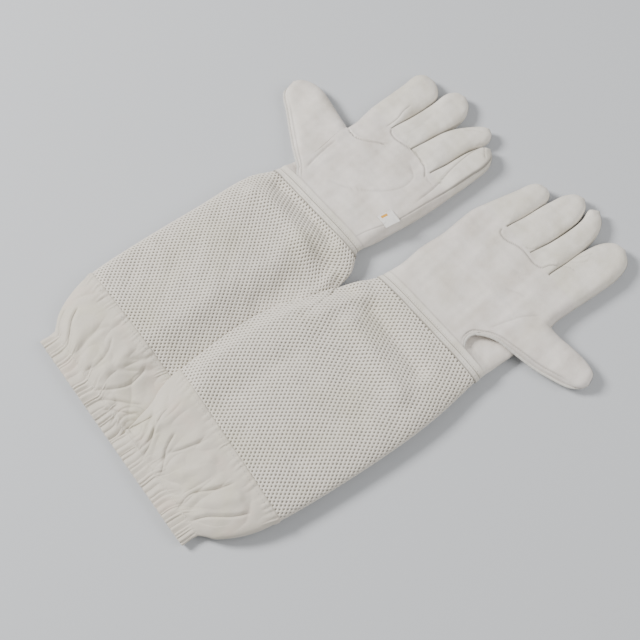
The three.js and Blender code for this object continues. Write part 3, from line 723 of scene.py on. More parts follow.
def thread_material(name, tone):
    """Twisted sewing thread."""
    n = Nodes(name)
    twist = n.wave(0.5, "DIAGONAL", 0.5)
    rough = n.math("MULTIPLY_ADD", twist, 0.1, 0.55)
    return n.finish(n.tones(twist, 0.1, 0.8, 0.7, tone), rough, n.bump(twist, 0.4, 0.1), sheen=0.15)


def elastic_material(name, tone):
    """Ribbed woven elastic."""
    n = Nodes(name)
    ribs = n.wave(1.3, "X", 0.2)
    height = n.math("ADD", ribs, n.math("MULTIPLY", n.wave(0.8, "Y", 0.4), 0.5))
    rough = n.math("MULTIPLY_ADD", ribs, 0.15, 0.65)
    return n.finish(n.tones(ribs, 0.1, 0.8, 0.7, tone), rough, n.bump(height, 0.5, 0.4), sheen=0.2)


def label_material(name, tone):
    """Woven satin label cloth, blank but for one plain orange bar."""
    n = Nodes(name)
    weave = n.wave(0.35, "Y", 0.3)
    base = n.tones(n.noise(5, 3), 0.3, 0.93, 0.7, tone)
    base = n.blend(n.math("SUBTRACT", 1.0, weave), base, grey("#bdbab2"), 0.12)
    place = n.add("ShaderNodeSeparateXYZ")
    n.feed(place.inputs[0], n.place)
    bar = 1.0  # 1 inside the bar, 0 outside
    for axis, (low, high) in enumerate(LABEL_BAR):
        bar = n.math("MULTIPLY", n.math("GREATER_THAN", place.outputs[axis], low), bar)
        bar = n.math("MULTIPLY", n.math("LESS_THAN", place.outputs[axis], high), bar)
    base = n.blend(bar, base, grey("#e0a53c"))
    return n.finish(base, n.math("MULTIPLY_ADD", weave, 0.15, 0.42), n.bump(weave, 0.3, 0.15), sheen=0.1)


GOAT = leather_material("goat_grain", "#e8e2dc", "#d5cdc4")
GOAT_FINGER = leather_material("goat_grain_fingers", "#e8e3da", "#d6d0c2", 1.1)
GOAT_BACK = leather_material("goat_grain_back", "#e1dcd4", "#d7d1c6", 1.2)
SPLIT = suede_material("goat_split", "#d8d5ce")
NET = net_material("spacer_face", "#e3ddd2")
# The lining is a real layer, but its grey is painted shade: darker than the face's threads to stand for the
# shadow in the holes.
KNIT = lining_material("spacer_lining", "#a5a096")
CLOTH = canvas_material("cotton_canvas", "#d7d0c3")
THREAD = thread_material("sewing_thread", "#e2dfd8")
RIBBED = elastic_material("woven_elastic", "#e0ddd6")
LABEL = label_material("label_satin", "#f6f4f0")


# ---------------------------------------------------------------- sleeves and cuffs

def overlap(x):
    """1 where the right sleeve lies on the left one, fading to 0 past both ends."""
    return smooth(x, -246, -240) * (1 - smooth(x, 6, 32))


def pressed(x, y):
    """How far the left sleeve is pressed down under the right one, from 0 to 1."""
    return overlap(x) * (1 - smooth(y, 20, 64))


sleeve_height = through([
    (-261, HEM_TOP), (-245, HEM_TOP), (-238, 16.5), (-225, 21.5), (-190, 24.5),
    (-120, SLEEVE_TOP), (-20, SLEEVE_TOP), (30, WRIST_TOP), (75, WRIST_TOP),
])


def section(y, little, thumb):
    """Share of its half height that a sleeve reaches at y, from 0 at its edges to 1."""
    s = np.clip(2 * (y - little) / (thumb - little) - 1, -1, 1)
    return np.clip(FULL * np.sqrt(1 - np.abs(s) ** SQUARE) ** (2 / SQUARE), 0, 1)


def lower_top(x, y):
    """Height of the left sleeve's upper side, which the right sleeve's edge lies on."""
    rise = section(y, through(LEFT["sleeve_little"])(x), through(LEFT["sleeve_thumb"])(x))
    return mix(sleeve_height(x), EDGE_TOP, pressed(x, y)) / 2 * (1 + rise)


class Sleeve:
    """The flattened sleeve as a surface over x and the distance v round it from its upper middle."""

    STEP = 0.5
    HALF_TURN = 720  # samples on each half of a section

    def __init__(self, g):
        self.g = g
        self.thumb, self.little = through(g["sleeve_thumb"]), through(g["sleeve_little"])
        self.x = np.arange(HEM_END - 1, 76, 1.0)
        a = np.linspace(-math.pi, math.pi, 2 * self.HALF_TURN + 1)
        pos = self.raw(*np.meshgrid(self.x, a, indexing="ij"))
        step = np.linalg.norm(np.diff(pos, axis=1), axis=-1)
        v = np.concatenate([np.zeros((len(self.x), 1)), np.cumsum(step, axis=1)], axis=1)
        v -= v[:, self.HALF_TURN, None]
        self.minus, self.plus = -v[:, 0], v[:, -1]
        reach = math.ceil(max(self.minus.max(), self.plus.max()) + 2)
        self.v = np.arange(-reach, reach + self.STEP, self.STEP)
        self.pos = np.stack([
            np.stack([np.interp(self.v, around, points[:, k]) for k in range(3)], -1)
            for around, points in zip(v, pos)
        ])
        n = np.cross(np.gradient(self.pos, axis=1), np.gradient(self.pos, axis=0))
        n /= np.maximum(np.linalg.norm(n, axis=-1, keepdims=True), 1e-6)
        self.normal = n * np.sign(n[:, len(self.v) // 2, None, 2, None])

    def raw(self, x, a):
        """Point at the angle a round the section at x, from -pi to pi with 0 on top."""
        s = bulge(np.sin(a), SQUARE)
        y = mix(self.little(x), self.thumb(x), (s + 1) / 2)
        top = sleeve_height(x)
        upper_glove = self.g["out"] < 0
        if upper_glove:
            over = overlap(x) * smooth(y, -36, -12)
            low, high = over * (EDGE_TOP + LIFT), top + over * 2.5
        else:
            low, high = 0 * x, mix(top, EDGE_TOP, pressed(x, y))
        z = (low + high) / 2 + (high - low) / 2 * np.clip(FULL * bulge(np.cos(a), SQUARE), -1, 1)
        if upper_glove:  # the soft edge droops on to the sleeve below
            shelf = lower_top(x, y) + LIFT
            droop = over * smooth(-s, 0.66, 0.98) * np.maximum((low + high) / 2 - shelf - 2.4, 0)
            z = np.maximum(z - droop, np.where(s < -0.4, over * (shelf + 0.2), -1))
        z = z + smooth(np.cos(a), 0.05, 0.55) * smooth(np.abs(s), 1.0, 0.8) * self.relief(x, y)
        return np.stack([x, y, z], -1)

    def relief(self, x, y):
        """Folds of the mesh, and tucks and crumpled cloth of the cuff."""
        g, p = self.g, np.stack([x, y], -1)
        cuff = 1 - smooth(x, -196, -180)
        folds = press(p, SLEEVE_LINES[g["name"]])[0] * 1.8 * (1 - cuff)
        folds = folds + 1.3 * wobble(p, 80, 5 + g["out"]) + 0.35 * wobble(p, 24, 15 + g["out"])
        tucks = press(p, CUFF_LINES[g["name"]])[0]
        tucks = tucks * (1 - smooth(x, g["seam"][1] - 14, g["seam"][1] + 2))
        creased = 1.5 * crumple(p * [0.75, 1.25], 38, 77 + g["out"]) + 0.18 * crumple(p, 13, 83 + g["out"])
        creased = cuff * smooth(x, HEM_END + 10, HEM_END + 28) * (creased - 0.8)
        return folds * (1 - smooth(x, 22, 44)) + tucks + creased

    def heights(self, p, little, thumb):
        """Lower and upper height of the sleeve carried on past the wrist, between the hand's outlines."""
        rise = section(p[..., 1], little(p[..., 0]), thumb(p[..., 0]))
        middle = sleeve_height(p[..., 0]) / 2
        return middle * (1 - rise), middle * (1 + rise)

    def at(self, x, v):
        """Point and outward normal at x and v."""
        i = np.clip((x - self.x[0]), 0, len(self.x) - 1.001)
        j = np.clip((v - self.v[0]) / self.STEP, 0, len(self.v) - 1.001)
        i0, j0 = i.astype(int), j.astype(int)
        fi, fj = (i - i0)[..., None], (j - j0)[..., None]
        out = []
        for table in (self.pos, self.normal):
            low = mix(table[i0, j0], table[i0, j0 + 1], fj)
            high = mix(table[i0 + 1, j0], table[i0 + 1, j0 + 1], fj)
            out.append(mix(low, high, fi))
        out[0][..., 0] = x
        return out

    def round(self, x, q):
        """v at share q of the way round, from -1 to 1."""
        minus, plus = np.interp(x, self.x, self.minus), np.interp(x, self.x, self.plus)
        return np.where(q < 0, q * minus, q * plus)

    def line(self, ends, q, shift=0.0):
        """x on a cross line given by its X at each edge, moved by shift."""
        x = np.full(q.shape, (ends[0] + ends[1]) / 2.0)
        for _ in range(3):
            p, _normal = self.at(x + shift, self.round(x + shift, q))
            little, thumb = self.little(x), self.thumb(x)
            x = mix(*ends, np.clip((p[..., 1] - little) / (thumb - little), 0, 1))
        return x + shift


def around(count):
    """Even shares of the way round a sleeve, from -1 to 1."""
    return np.linspace(-1, 1, count, endpoint=False)


def loops(sleeve, ends, shifts, lift, count=420):
    """Closed loops round a sleeve at shifts from a cross line, raised by lift, and their normals."""
    q = around(count)
    rows, normals = [], []
    for shift in shifts:
        x = sleeve.line(ends, q, shift)
        v = sleeve.round(x, q)
        p, n = sleeve.at(x, v)
        rows.append(p + n * lift(shift, v)[:, None])
        normals.append(n)
    return np.stack(rows), np.stack(normals)


def mesh_cell(pitch, row, skew):
    """Rim of one cell of the mesh and the oval hole in it, as 12 points each."""
    inner, outer = (pitch**2 / 4 - row**2 / 4) / pitch, (pitch**2 / 4 + row**2 / 4) / pitch
    hexagon = np.array([(outer, 0), (inner, row / 2), (-inner, row / 2),
                        (-outer, 0), (-inner, -row / 2), (inner, -row / 2)])
    rim = np.empty((12, 2))
    rim[0::2] = hexagon
    rim[1::2] = (hexagon + np.roll(hexagon, -1, axis=0)) / 2
    turn = np.arctan2(rim[:, 1] / row, rim[:, 0] / pitch)
    hole = np.stack([HOLE[0] * pitch * np.cos(turn), HOLE[1] * row * np.sin(turn)], -1)
    for ring in (rim, hole):
        ring[:, 0] += skew * ring[:, 1]
    return rim, hole


def mesh_centres(sleeve, pitch, row, skew):
    """Centres of the cells from the cuff's seam to the wrist, and which of them are on the palm side."""
    g = sleeve.g
    spare = 4 + abs(skew) * sleeve.v[-1]
    first, last = (min(g["seam"]) - spare) / pitch, (max(g["wrist"]) + spare) / pitch
    xs = np.arange(math.floor(first), math.ceil(last) + 1)
    vs = np.arange(math.floor(sleeve.v[0] / row), math.ceil(sleeve.v[-1] / row) + 1)
    cx, cv = np.meshgrid(xs * pitch, vs * row, indexing="ij")
    cx = np.concatenate([cx.ravel(), cx.ravel() + pitch / 2])
    cv = np.concatenate([cv.ravel(), cv.ravel() + row / 2])
    cx = cx + skew * cv
    p, _normal = sleeve.at(cx, cv)
    share = (p[:, 1] - sleeve.little(cx)) / (sleeve.thumb(cx) - sleeve.little(cx))
    start, end = mix(*g["seam"], share), mix(*g["wrist"], share)
    minus, plus = np.interp(cx, sleeve.x, sleeve.minus), np.interp(cx, sleeve.x, sleeve.plus)
    keep = (cx > start - 1) & (cx < end + 1.5) & (cv > -minus + 3) & (cv < plus - 3)
    return np.stack([cx, cv], -1)[keep], (np.abs(cv) < (minus + plus) / 4)[keep]


def mesh_face(sleeve, name, centres, rim, hole, skew):
    """Rounded threads round the holes: rings of points from each cell's rim down into its hole."""
    count, sides = len(centres), len(rim)
    r = np.random.default_rng(7)
    size = r.uniform(0.92, 1.08, (count, 1, 1))
    drift = r.normal(0, 0.06, (count, 1, 2))
    centre = centres[:, None]
    rims = (centre + rim).reshape(-1, 2)
    # Neighbouring cells share the points of their rims.
    key = np.round((rims - rims[:, 1:2] * [skew, 0]) / 0.2).astype(np.int64)
    _, first, index = np.unique(key, axis=0, return_index=True, return_inverse=True)
    middle = centre + mix(rim, hole * size, 0.5) + drift * 0.5
    edge = centre + hole * size + drift
    deep = centre + hole * size * 0.86 + drift
    verts, flow = [], []
    for ring, height in zip((rims[first], middle, edge, deep), THREAD_STEPS):
        x, v = ring.reshape(-1, 2).T
        point, normal = sleeve.at(x, v)
        verts.append(point + normal * height)
        flow.append(np.stack([x, v, 0 * x], -1))
    own = len(first) + np.arange(count * sides).reshape(count, sides)
    rings = [index.reshape(count, sides)] + [own + k * count * sides for k in range(3)]
    faces = [np.stack([a, np.roll(a, -1, 1), np.roll(b, -1, 1), b], -1).reshape(-1, 4)
             for a, b in zip(rings, rings[1:])]
    return make(name, np.vstack(verts), np.vstack(faces), NET, np.vstack(flow))


def mesh_lining(sleeve, name):
    """The closed fine knit behind the holes."""
    q = around(200)
    low, high = sleeve.line(sleeve.g["seam"], q, -2.0), sleeve.line(sleeve.g["wrist"], q, 2.0)
    rows = []
    for t in np.linspace(0, 1, 80):
        x = mix(low, high, t)
        p, n = sleeve.at(x, sleeve.round(x, q))
        rows.append(p - n * 1.2)
    grid = np.stack(rows)
    reference = grid - grid.mean(axis=1, keepdims=True)
    return leaf(name, grid, KNIT, thick=0.5, wrap=True, reference=reference)


def mesh_back_seam(sleeve, name):
    """The seam that closes the sleeve along the middle of its back."""
    width = np.linspace(-1, 1, 9)
    start, end = max(sleeve.g["seam"]) - 3, min(sleeve.g["wrist"]) + 3
    x = mix(start, end, np.linspace(0, 1, 120))[:, None] + 0 * width
    p, _normal = sleeve.at(x, -np.interp(x, sleeve.x, sleeve.minus) + 0.3)
    p = p + np.stack([0 * x, width * 4.4 + 0 * x, np.abs(width) ** 2 * 0.25 + 0.05 - 0 * x], -1)
    return leaf(name, p, CLOTH, up=-1, thick=0.8)


def net(sleeve):
    """The mesh sleeve: threads round oval holes on both sides, a lining, and the seam of its back."""
    name, lattice = sleeve.g["name"], sleeve.g["lattice"]
    rim, hole = mesh_cell(*lattice)
    centres, palm_side = mesh_centres(sleeve, *lattice)
    pieces = []
    for side, chosen in (("palm_side", palm_side), ("back_side", ~palm_side)):
        pieces.append(mesh_face(sleeve, f"{name}_mesh_{side}", centres[chosen], rim, hole, lattice[2]))
    pieces.append(mesh_lining(sleeve, f"{name}_mesh_lining"))
    pieces.append(mesh_back_seam(sleeve, f"{name}_mesh_back_seam"))
    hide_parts(f"{name}_mesh_sleeve")
    for piece in pieces:
        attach(piece, f"{name}_sleeve")


# Across the wrist binding: distance from the wrist line, height, and painted shade.
BINDING = np.array([
    (-4.2, -1.0, 1), (-4.1, -0.5, 1), (-3.9, 0.3, 1), (-3.3, 0.85, 0.7), (-2.2, 0.95, 0), (-1.0, 0.8, 0.1),
    (0.4, 0.95, 0), (1.3, 0.9, 0), (1.8, 0.5, 0.6), (2.1, 0.0, 0.9), (2.4, 0.3, 0.4), (2.9, 0.5, 0),
    (3.7, 0.3, 0.12), (4.6, 0.5, 0), (6, 0.4, 0), (7.4, 0.4, 0), (8.4, 0.35, 0), (8.8, 0.1, 0.2),
    (9.0, -0.6, 0.4),
]).T


def wrist_binding(sleeve):
    """The folded leather strip sewn over the end of the mesh with two rows of stitches."""
    name, wrist = sleeve.g["name"], sleeve.g["wrist"]
    shifts, rise, painted_shade = BINDING
    ripple = np.random.default_rng(3).uniform(0, math.tau, 2)

    def lift(shift, v):
        uneven = 0.1 * np.sin(v / 2.1 + ripple[0]) * np.sin(v / 13.7) + 0.12 * np.sin(v / 17 + ripple[1])
        return np.interp(shift, shifts, rise) + uneven * smooth(shift, -4.2, -2)

    fine = np.interp(np.linspace(0, 1, 55), np.linspace(0, 1, len(shifts)), shifts)
    grid, normals = loops(sleeve, wrist, fine, lift)
    # Painted shade along the binding's edges, its middle groove and a stitch row.
    dark = np.interp(fine, shifts, painted_shade)[:, None] + np.zeros(grid.shape[1])
    piece = leaf(f"{name}_wrist_binding", grid, GOAT_FINGER, wrap=True, thick=1.0,
                 reference=normals, dark=dark)
    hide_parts(f"{name}_wrist_band")
    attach(piece, f"{name}_sleeve")
    for number, shift in enumerate((-1.0, 3.7), 1):
        path, normal = loops(sleeve, wrist, [shift], lift)
        row = stitches(f"{name}_wrist_stitches_{number}", path[0], normal[0],
                       pitch=2.7, length=1.75, radius=0.34, lift=0.16)
        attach(row, f"{name}_sleeve")


def knots_of(widths):
    """Ends of neighbouring ridges of the given widths, as shares of the whole way round."""
    return np.concatenate([[0], np.cumsum(widths)]) / widths.sum()


def ridge_at(share, knots):
    """Number of the ridge at a share of the way round, and the share across it."""
    count = len(knots) - 1
    u = np.interp(share, knots, np.arange(count + 1))
    return np.floor(u).astype(int) % count, u - np.floor(u)


class Gathers:
    """Ridges that the elastic draws up at the hem, and puckers at the seam with the mesh."""

    def __init__(self, sleeve):
        self.sleeve = sleeve
        r = np.random.default_rng(11 + sleeve.g["out"])
        half = float(np.interp(HEM_END + 8, sleeve.x, sleeve.plus))
        count, tucks = int(half * 2 / GATHER_PITCH), int(half * 2 / TUCK_PITCH)
        self.reach = r.uniform(15, 34, count)
        self.strength = r.uniform(0.3, 1.25, count)
        self.phase = r.uniform(-0.2, 0.2, count)
        self.tuck_reach = r.uniform(4, 15, tucks)
        self.tuck_strength = r.uniform(0.1, 1.1, tucks)
        self.tuck_knots = knots_of(r.uniform(0.5, 1.7, tucks))
        self.knots = knots_of(r.uniform(0.35, 1.7, count))
        self.wide = count // 3
        self.wide_reach = r.uniform(26, 62, self.wide)
        self.wide_strength = r.uniform(0.2, 1.2, self.wide)
        self.lean = r.uniform(-1.0, 1.0, count)

    def hem(self, x, q):
        """Narrow ridges over the elastic, and wider, softer ones further in."""
        d = x - HEM_END
        share = (q + 1) / 2 + 0.0035 * np.sin(d / 5.2 + 9 * q) * smooth(d, 2, 16)
        k, f = ridge_at(share % 1, self.knots)
        shape = np.sin(math.pi * np.clip(f + self.phase[k] * np.sin(math.pi * f), 0, 1))
        tilt = 1 + 0.25 * self.lean[k] * np.sin(d / 4.0 + 3 * self.lean[k])
        fade = np.maximum(1 - smooth(d, 9, self.reach[k]), 0)
        pinch = 1 - 0.6 * dip(d - HEM_DEPTH, 1.3)
        u = (share * self.wide + 0.3 * np.sin(d / 14 + 5 * q)) % self.wide
        j = np.floor(u).astype(int) % self.wide
        soft = (np.sin(math.pi * (u - np.floor(u))) ** 1.5 - 0.4) * self.wide_strength[j]
        soft = soft * smooth(d, 8, 20) * (1 - smooth(d, 22, self.wide_reach[j]))
        return (shape - 0.6) * 1.5 * self.strength[k] * fade * pinch * tilt + 1.1 * soft

    def seam_x(self, q):
        return self.sleeve.line(self.sleeve.g["seam"], q)

    def both(self, x, q):
        """The hem's ridges, and the puckers where the canvas is eased on to the mesh."""
        d = self.seam_x(q) - x
        k, f = ridge_at((q + 1) / 2 + 0.002 * np.sin(d / 4 + 11 * q), self.tuck_knots)
        fade = smooth(d, -3.5, -1) * (1 - smooth(d, 3, 3 + self.tuck_reach[k]))
        return self.hem(x, q) + (np.sin(math.pi * f) ** 1.5 - 0.4) * 0.95 * self.tuck_strength[k] * fade


def cuff_cloth(sleeve, gathers):
    """One sheet of canvas from the seam with the mesh over the hem's free end and back inside."""
    name, q = sleeve.g["name"], around(900)
    rows, flows, normals, darks = [], [], [], []

    def put(x, inset, share=1.0):
        x = x + 0 * q
        v = sleeve.round(x, q)
        p, n = sleeve.at(x, v)
        past_seam = x - gathers.seam_x(q)
        edge = 0.75 * smooth(past_seam, -6, 0) - 1.4 * smooth(past_seam, 2.2, 3.4)
        ridges = gathers.both(x, q)
        height = ridges * share + edge - 0.5 * dip(x - HEM_END - HEM_DEPTH, 0.9)
        rows.append(p + n * (height - inset)[:, None])
        normals.append(n)
        flows.append(np.stack([x, v, 0 * x], -1))
        # Painted shade in the cuff's creases on its upper side and in the hollows between its gathers.
        dark = press(p[:, :2], CUFF_LINES[name])[1] * (n[:, 2] > 0.3) * (1 - smooth(x, -200, -186))
        darks.append(np.maximum(dark, 0.14 * smooth(-ridges, 0.25, 1.0)))

    start = gathers.seam_x(q) + 3.2
    for t in [*np.linspace(0, 0.7, 70, endpoint=False), *np.linspace(0.7, 1, 44)]:
        put(mix(start, HEM_END, t), 0.0)
    turned = len(rows) + 2
    scallop = np.maximum(gathers.hem(HEM_END + 0 * q, q), -1) * 0.6
    for dx, inset in ((-0.5, 0.35), (-0.8, 1.0), (-0.8, 1.8), (-0.4, 2.6)):
        put(HEM_END, inset)
        rows[-1][:, 0] += dx - scallop * 0.6
    for dx in np.linspace(0, HEM_DEPTH, 14):
        put(HEM_END + dx, 3.1, 0.7)
    for dx in np.linspace(HEM_DEPTH, 62, 16):
        put(HEM_END + dx + 0.4, 1.0)
    reference = np.stack(normals)
    reference[turned:] = 0
    return leaf(f"{name}_cuff_cloth", np.stack(rows), CLOTH, wrap=True, thick=0.6,
                flow=np.stack(flows), reference=reference, dark=np.stack(darks))


def hem_elastic(sleeve, gathers):
    """The elastic in the hem, between the two layers of cloth."""
    q, rows = around(500), []
    for dx, inset in ((2, 1.3), (8, 1.25), (14, 1.3), (14, 2.5), (8, 2.55), (2, 2.5), (2, 1.3)):
        x = HEM_END + dx + 0 * q
        p, n = sleeve.at(x, sleeve.round(x, q))
        rows.append(p + n * (0.6 * gathers.hem(x, q) - inset)[:, None])
    band = np.stack(rows)
    reference = band - band.mean(axis=1, keepdims=True)
    reference[2:] = 0
    name = f"{sleeve.g['name']}_hem_elastic"
    return leaf(name, band, RIBBED, wrap=True, thick=0.1, reference=reference)


def cuff(sleeve):
    """The gathered canvas cuff, the elastic in its hem, and its two rows of stitches."""
    name, gathers, q = sleeve.g["name"], Gathers(sleeve), around(900)
    for make_piece, node in ((cuff_cloth, "canvas_cuff"), (hem_elastic, "elastic_band")):
        piece = make_piece(sleeve, gathers)
        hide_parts(f"{name}_{node}")
        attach(piece, f"{name}_sleeve")
    hem, seam = HEM_END + HEM_DEPTH + 0 * q, gathers.seam_x(q) - 1.6
    for place, x, lift in (("hem", hem, -0.4), ("seam", seam, 0.7)):
        p, n = sleeve.at(x, sleeve.round(x, q))
        path = p + n * (gathers.both(x, q) + lift)[:, None]
        row = stitches(f"{name}_{place}_stitches", path, n,
                       pitch=3.0, length=2.1, radius=0.3)
        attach(row, f"{name}_sleeve")


# ---------------------------------------------------------------- hands

def roll(u, power=2.3):
    return (1 - (1 - np.clip(u, 0, 1)) ** power) ** (1 / power)


# An edge of the leather is a plan line with, at shares of its length, its height and the radius of the
# roll into it. This is the usual one.
PLAIN_EDGE = np.array([0.0, 1.0]), np.array([RIM, RIM]), np.array([12.0, 12.0])


def on_line(x, y_of):
    """Plan points on a line whose y is a function of x."""
    return np.stack([x, y_of(x)], -1)


class Hand:
    """Upper and lower surfaces of the leather hand as heights over the plan."""

    def __init__(self, g, sleeve):
        self.g, self.sleeve = g, sleeve
        self.k = g["knuckles"]
        self.y_little, self.y_thumb = through(g["hand_little"]), through(g["hand_thumb"])
        self.inner, self.outer = spline(g["thumb_inner"]), spline(g["thumb_outer"])
        little = on_line(np.linspace(g["hand_little"][0][0], self.k, 60), self.y_little)
        thumb = on_line(np.linspace(g["hand_thumb"][0][0], self.k, 60), self.y_thumb)
        beyond = on_line(np.linspace(self.inner[0][0], self.k, 20), self.y_thumb)
        plain = [(line, *PLAIN_EDGE) for line in (little, self.inner, beyond, thumb, self.outer)]
        self.edges = [plain[0], self.welt_edge(), plain[1], plain[2]]
        self.hand_under = [plain[0], plain[1], plain[3]]
        self.thumb_under = [plain[4], plain[1]]
        self.fingers = {finger: self.finger_edges(finger, sides) for finger, sides in g["fingers"].items()}
        groove = (self.welt + 2.9 * self.inward)[2:-14:4]
        self.lines = HAND_LINES[g["name"]] + [("groove", 0.8, 0.75, groove)]

    def y_palm(self, x):
        """The upper leather's edge, which runs inside the thumb as far as the crotch."""
        crotch = self.g["thumb_inner"][0][0]
        return np.where(x > crotch, self.y_thumb(x), through(self.g["palm_thumb"])(x))

    def wrist_x(self, y):
        """Start of the hand's leather, under the wrist binding."""
        first, last = self.g["hand_little"][0][1], self.g["hand_thumb"][0][1]
        return mix(*self.g["wrist"], (y - first) / (last - first)) + BAND - 0.6

    def welt_edge(self):
        """The upper leather's edge from the wrist to the thumb's outer side, which carries the welt."""
        g = self.g
        base = on_line(np.linspace(g["palm_thumb"][0][0], self.outer[0][0], 12)[:-1], self.y_palm)
        self.welt, self.thumb_start = np.vstack([base, self.outer]), len(base)
        share, _length = shares(self.welt)
        begin = share[self.thumb_start]
        drop = smooth((share - begin) / (1 - begin), *g["welt_drop"])
        self.welt_height = mix(g["welt_start"], RIM + 0.4, drop)
        ahead = unit(np.gradient(self.welt, axis=0))
        self.inward = np.stack([ahead[:, 1], -ahead[:, 0]], -1) * g["out"]
        return self.welt, share, self.welt_height, mix(4.5, 12, drop)

    def finger_edges(self, finger, sides):
        """A finger's side lines, and the edges of its front and of its back leather."""
        lines, tops, lows = [spline(side) for side in sides], [], []
        for line, inner, away in zip(lines, INNER_SIDES[finger], (-1, 1)):
            if not inner:
                tops.append((line, *PLAIN_EDGE))
                lows.append((line, *PLAIN_EDGE))
                continue
            # Neighbouring fingers all but touch near their roots.
            line[:, 1] += away * self.g["out"] * 0.38 * (1 - smooth(shares(line)[0], 0.35, 0.7))
            share, _length = shares(line)
            near = smooth(share, 0, 0.3)
            strip = STRIP / 2 * (1 - smooth(share, 0.45, 0.85))
            # Painted shade in the gap between neighbouring fingers, strongest toward the root.
            gap_shade = 0.75 * (1 - smooth(share, 0.5, 0.8))
            tops.append((line, share, mix(FINGER_TOP - 1.5, RIM + strip, near), mix(2.2, 11.5, near), gap_shade))
            lows.append((line, share, mix(2.0, RIM - strip, near), mix(3.0, 10.0, near)))
        return lines, tops, lows

    def level(self, p):
        """Height of the upper leather away from its edges."""
        x, y = p[..., 0], p[..., 1] * self.g["out"]
        crotch = abs(self.g["thumb_inner"][0][1])
        palm = mix(PALM_TOP, FINGER_TOP - 0.3, smooth(x, self.k - 60, self.k + 5))
        palm = palm - 2.2 * smooth(x, self.k + 20, self.k + 85)
        return mix(palm, 15.8, smooth(y, crotch - 6, crotch + 70) * (x < self.k))

    def from_wrist(self, p):
        """Distance past the wrist binding."""
        first, last = self.g["hand_little"][0][1], self.g["hand_thumb"][0][1]
        return p[..., 0] - (mix(*self.g["wrist"], np.clip((p[..., 1] - first) / (last - first), 0, 1)) + BAND)

    def meet_sleeve(self, p, z, side, reach=16, sink=0.0):
        """Heights z that start at the wrist from the sleeve's lower side, 0, or its upper side, 1."""
        rim = self.sleeve.heights(p, self.y_little, self.y_thumb)[side] - sink
        return mix(rim, z, smooth(self.from_wrist(p), -1, reach))

    def top(self, p, own):
        """Height of the upper leather within its own edges. self.dark keeps the painted shade of its creases,
        its finger gaps and the binding's edge.
        """
        level = self.level(p) + 0.85 * wobble(p, 42, 21 + self.g["out"]) + 0.24 * wobble(p, 13, 33)
        z, gap_shade = level, np.zeros(level.shape)
        for line, share, height, radius, *shade in own:
            d, at, _side = nearest(p, line)
            edge = np.interp(at, share, height)
            z = np.minimum(z, edge + (level - edge) * roll((d - SEAM) / np.interp(at, share, radius)))
            if shade:
                gap_shade = np.maximum(gap_shade, np.interp(at, share, shade[0]) * dip(d, 0.7))
        relief, dark = press(p, self.lines)
        # Painted shade: creases, finger gaps, and a dark line along the wrist binding's edge.
        self.dark = np.maximum(np.maximum(dark, gap_shade), 0.35 * dip(self.from_wrist(p) - 1.7, 0.8))
        return self.meet_sleeve(p, z + relief * smooth(z, RIM + 0.5, RIM + 6), 1)

    def low(self, p, own):
        """Height of the leather on the floor side within its own edges."""
        z = 0.0 * p[..., 0]
        for line, share, height, radius in own:
            d, at, _side = nearest(p, line)
            edge = np.interp(at, share, height)
            z = np.maximum(z, edge * (1 - roll((d - SEAM) / np.interp(at, share, radius))))
        return self.meet_sleeve(p, z, 0)

    def palm_edges(self):
        """Everything that shapes the upper leather of the palm, finger roots included."""
        return self.edges + [edge for _lines, tops, _lows in self.fingers.values() for edge in tops]


# Shares along a finger or thumb, closer together toward the tip and ending just short of it.
TO_TIP = 1 - (1 - np.linspace(0, 1, 110)) ** 1.5
TO_TIP[-1] = 0.9995


def across_shares(count):
    a = np.linspace(0, math.pi, count)
    return (1 + bulge(-np.cos(a), 3.2)) / 2


def between(a, b, shares_across):
    s = shares_across[None, :, None]
    return a[:, None] * (1 - s) + b[:, None] * s


def with_z(p, z):
    return np.concatenate([p, z[..., None]], -1)


def blend(piece, g, second):
    """Bake a piece's transform into its mesh."""
    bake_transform(piece)


def wrist_blend(piece, g):
    """The hand's leather, with its transform baked into its mesh."""
    blend(piece, g, "hand")


def thumb_blend(piece, g):
    """A thumb piece, with its transform baked into its mesh."""
    blend(piece, g, "thumb")


def finger_blend(piece, g, finger):
    """A finger piece, with its transform baked into its mesh."""
    blend(piece, g, finger)


def leather(g, name, grid, z, material, node, turn, *finger, up=1, dark=None):
    """A piece of leather over a plan grid at heights z. It stands for a CAD node."""
    piece = leaf(f"{g['name']}_{name}", with_z(grid, z), material, up=up, dark=dark)
    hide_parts(f"{g['name']}_{node}")
    turn(piece, g, *finger)


def wall(name, line, inward, inset, z, material):
    """An upright strip of leather along a plan line, facing away from inward."""
    grid = with_z(line[:, None] + inward[:, None] * inset[..., None], z)
    reference = with_z(-inward[:, None] + 0 * grid[..., :2], 0 * z)
    return leaf(name, grid, material, reference=reference)


def palm_and_back(hand, g):
    """The palm, and the back of the hand on the floor side."""
    rows, little, k = np.linspace(0, 1, 120), g["hand_little"][0][1], hand.k
    edge = on_line(mix(hand.wrist_x(little), k, rows), hand.y_little)
    far = on_line(mix(hand.wrist_x(g["palm_thumb"][0][1]), k, rows), hand.y_palm)
    grid = between(edge, far, across_shares(190))
    z = hand.top(grid, hand.palm_edges())
    leather(g, "palm_leather", grid, z, GOAT, "palm_panel", wrist_blend, dark=hand.dark)
    far = on_line(mix(hand.wrist_x(g["hand_thumb"][0][1]), k, rows), hand.y_thumb)
    grid = between(edge, far, across_shares(120))
    z = hand.low(grid, hand.hand_under)
    leather(g, "back_leather", grid, z, GOAT_BACK, "back_panel", wrist_blend, up=-1)


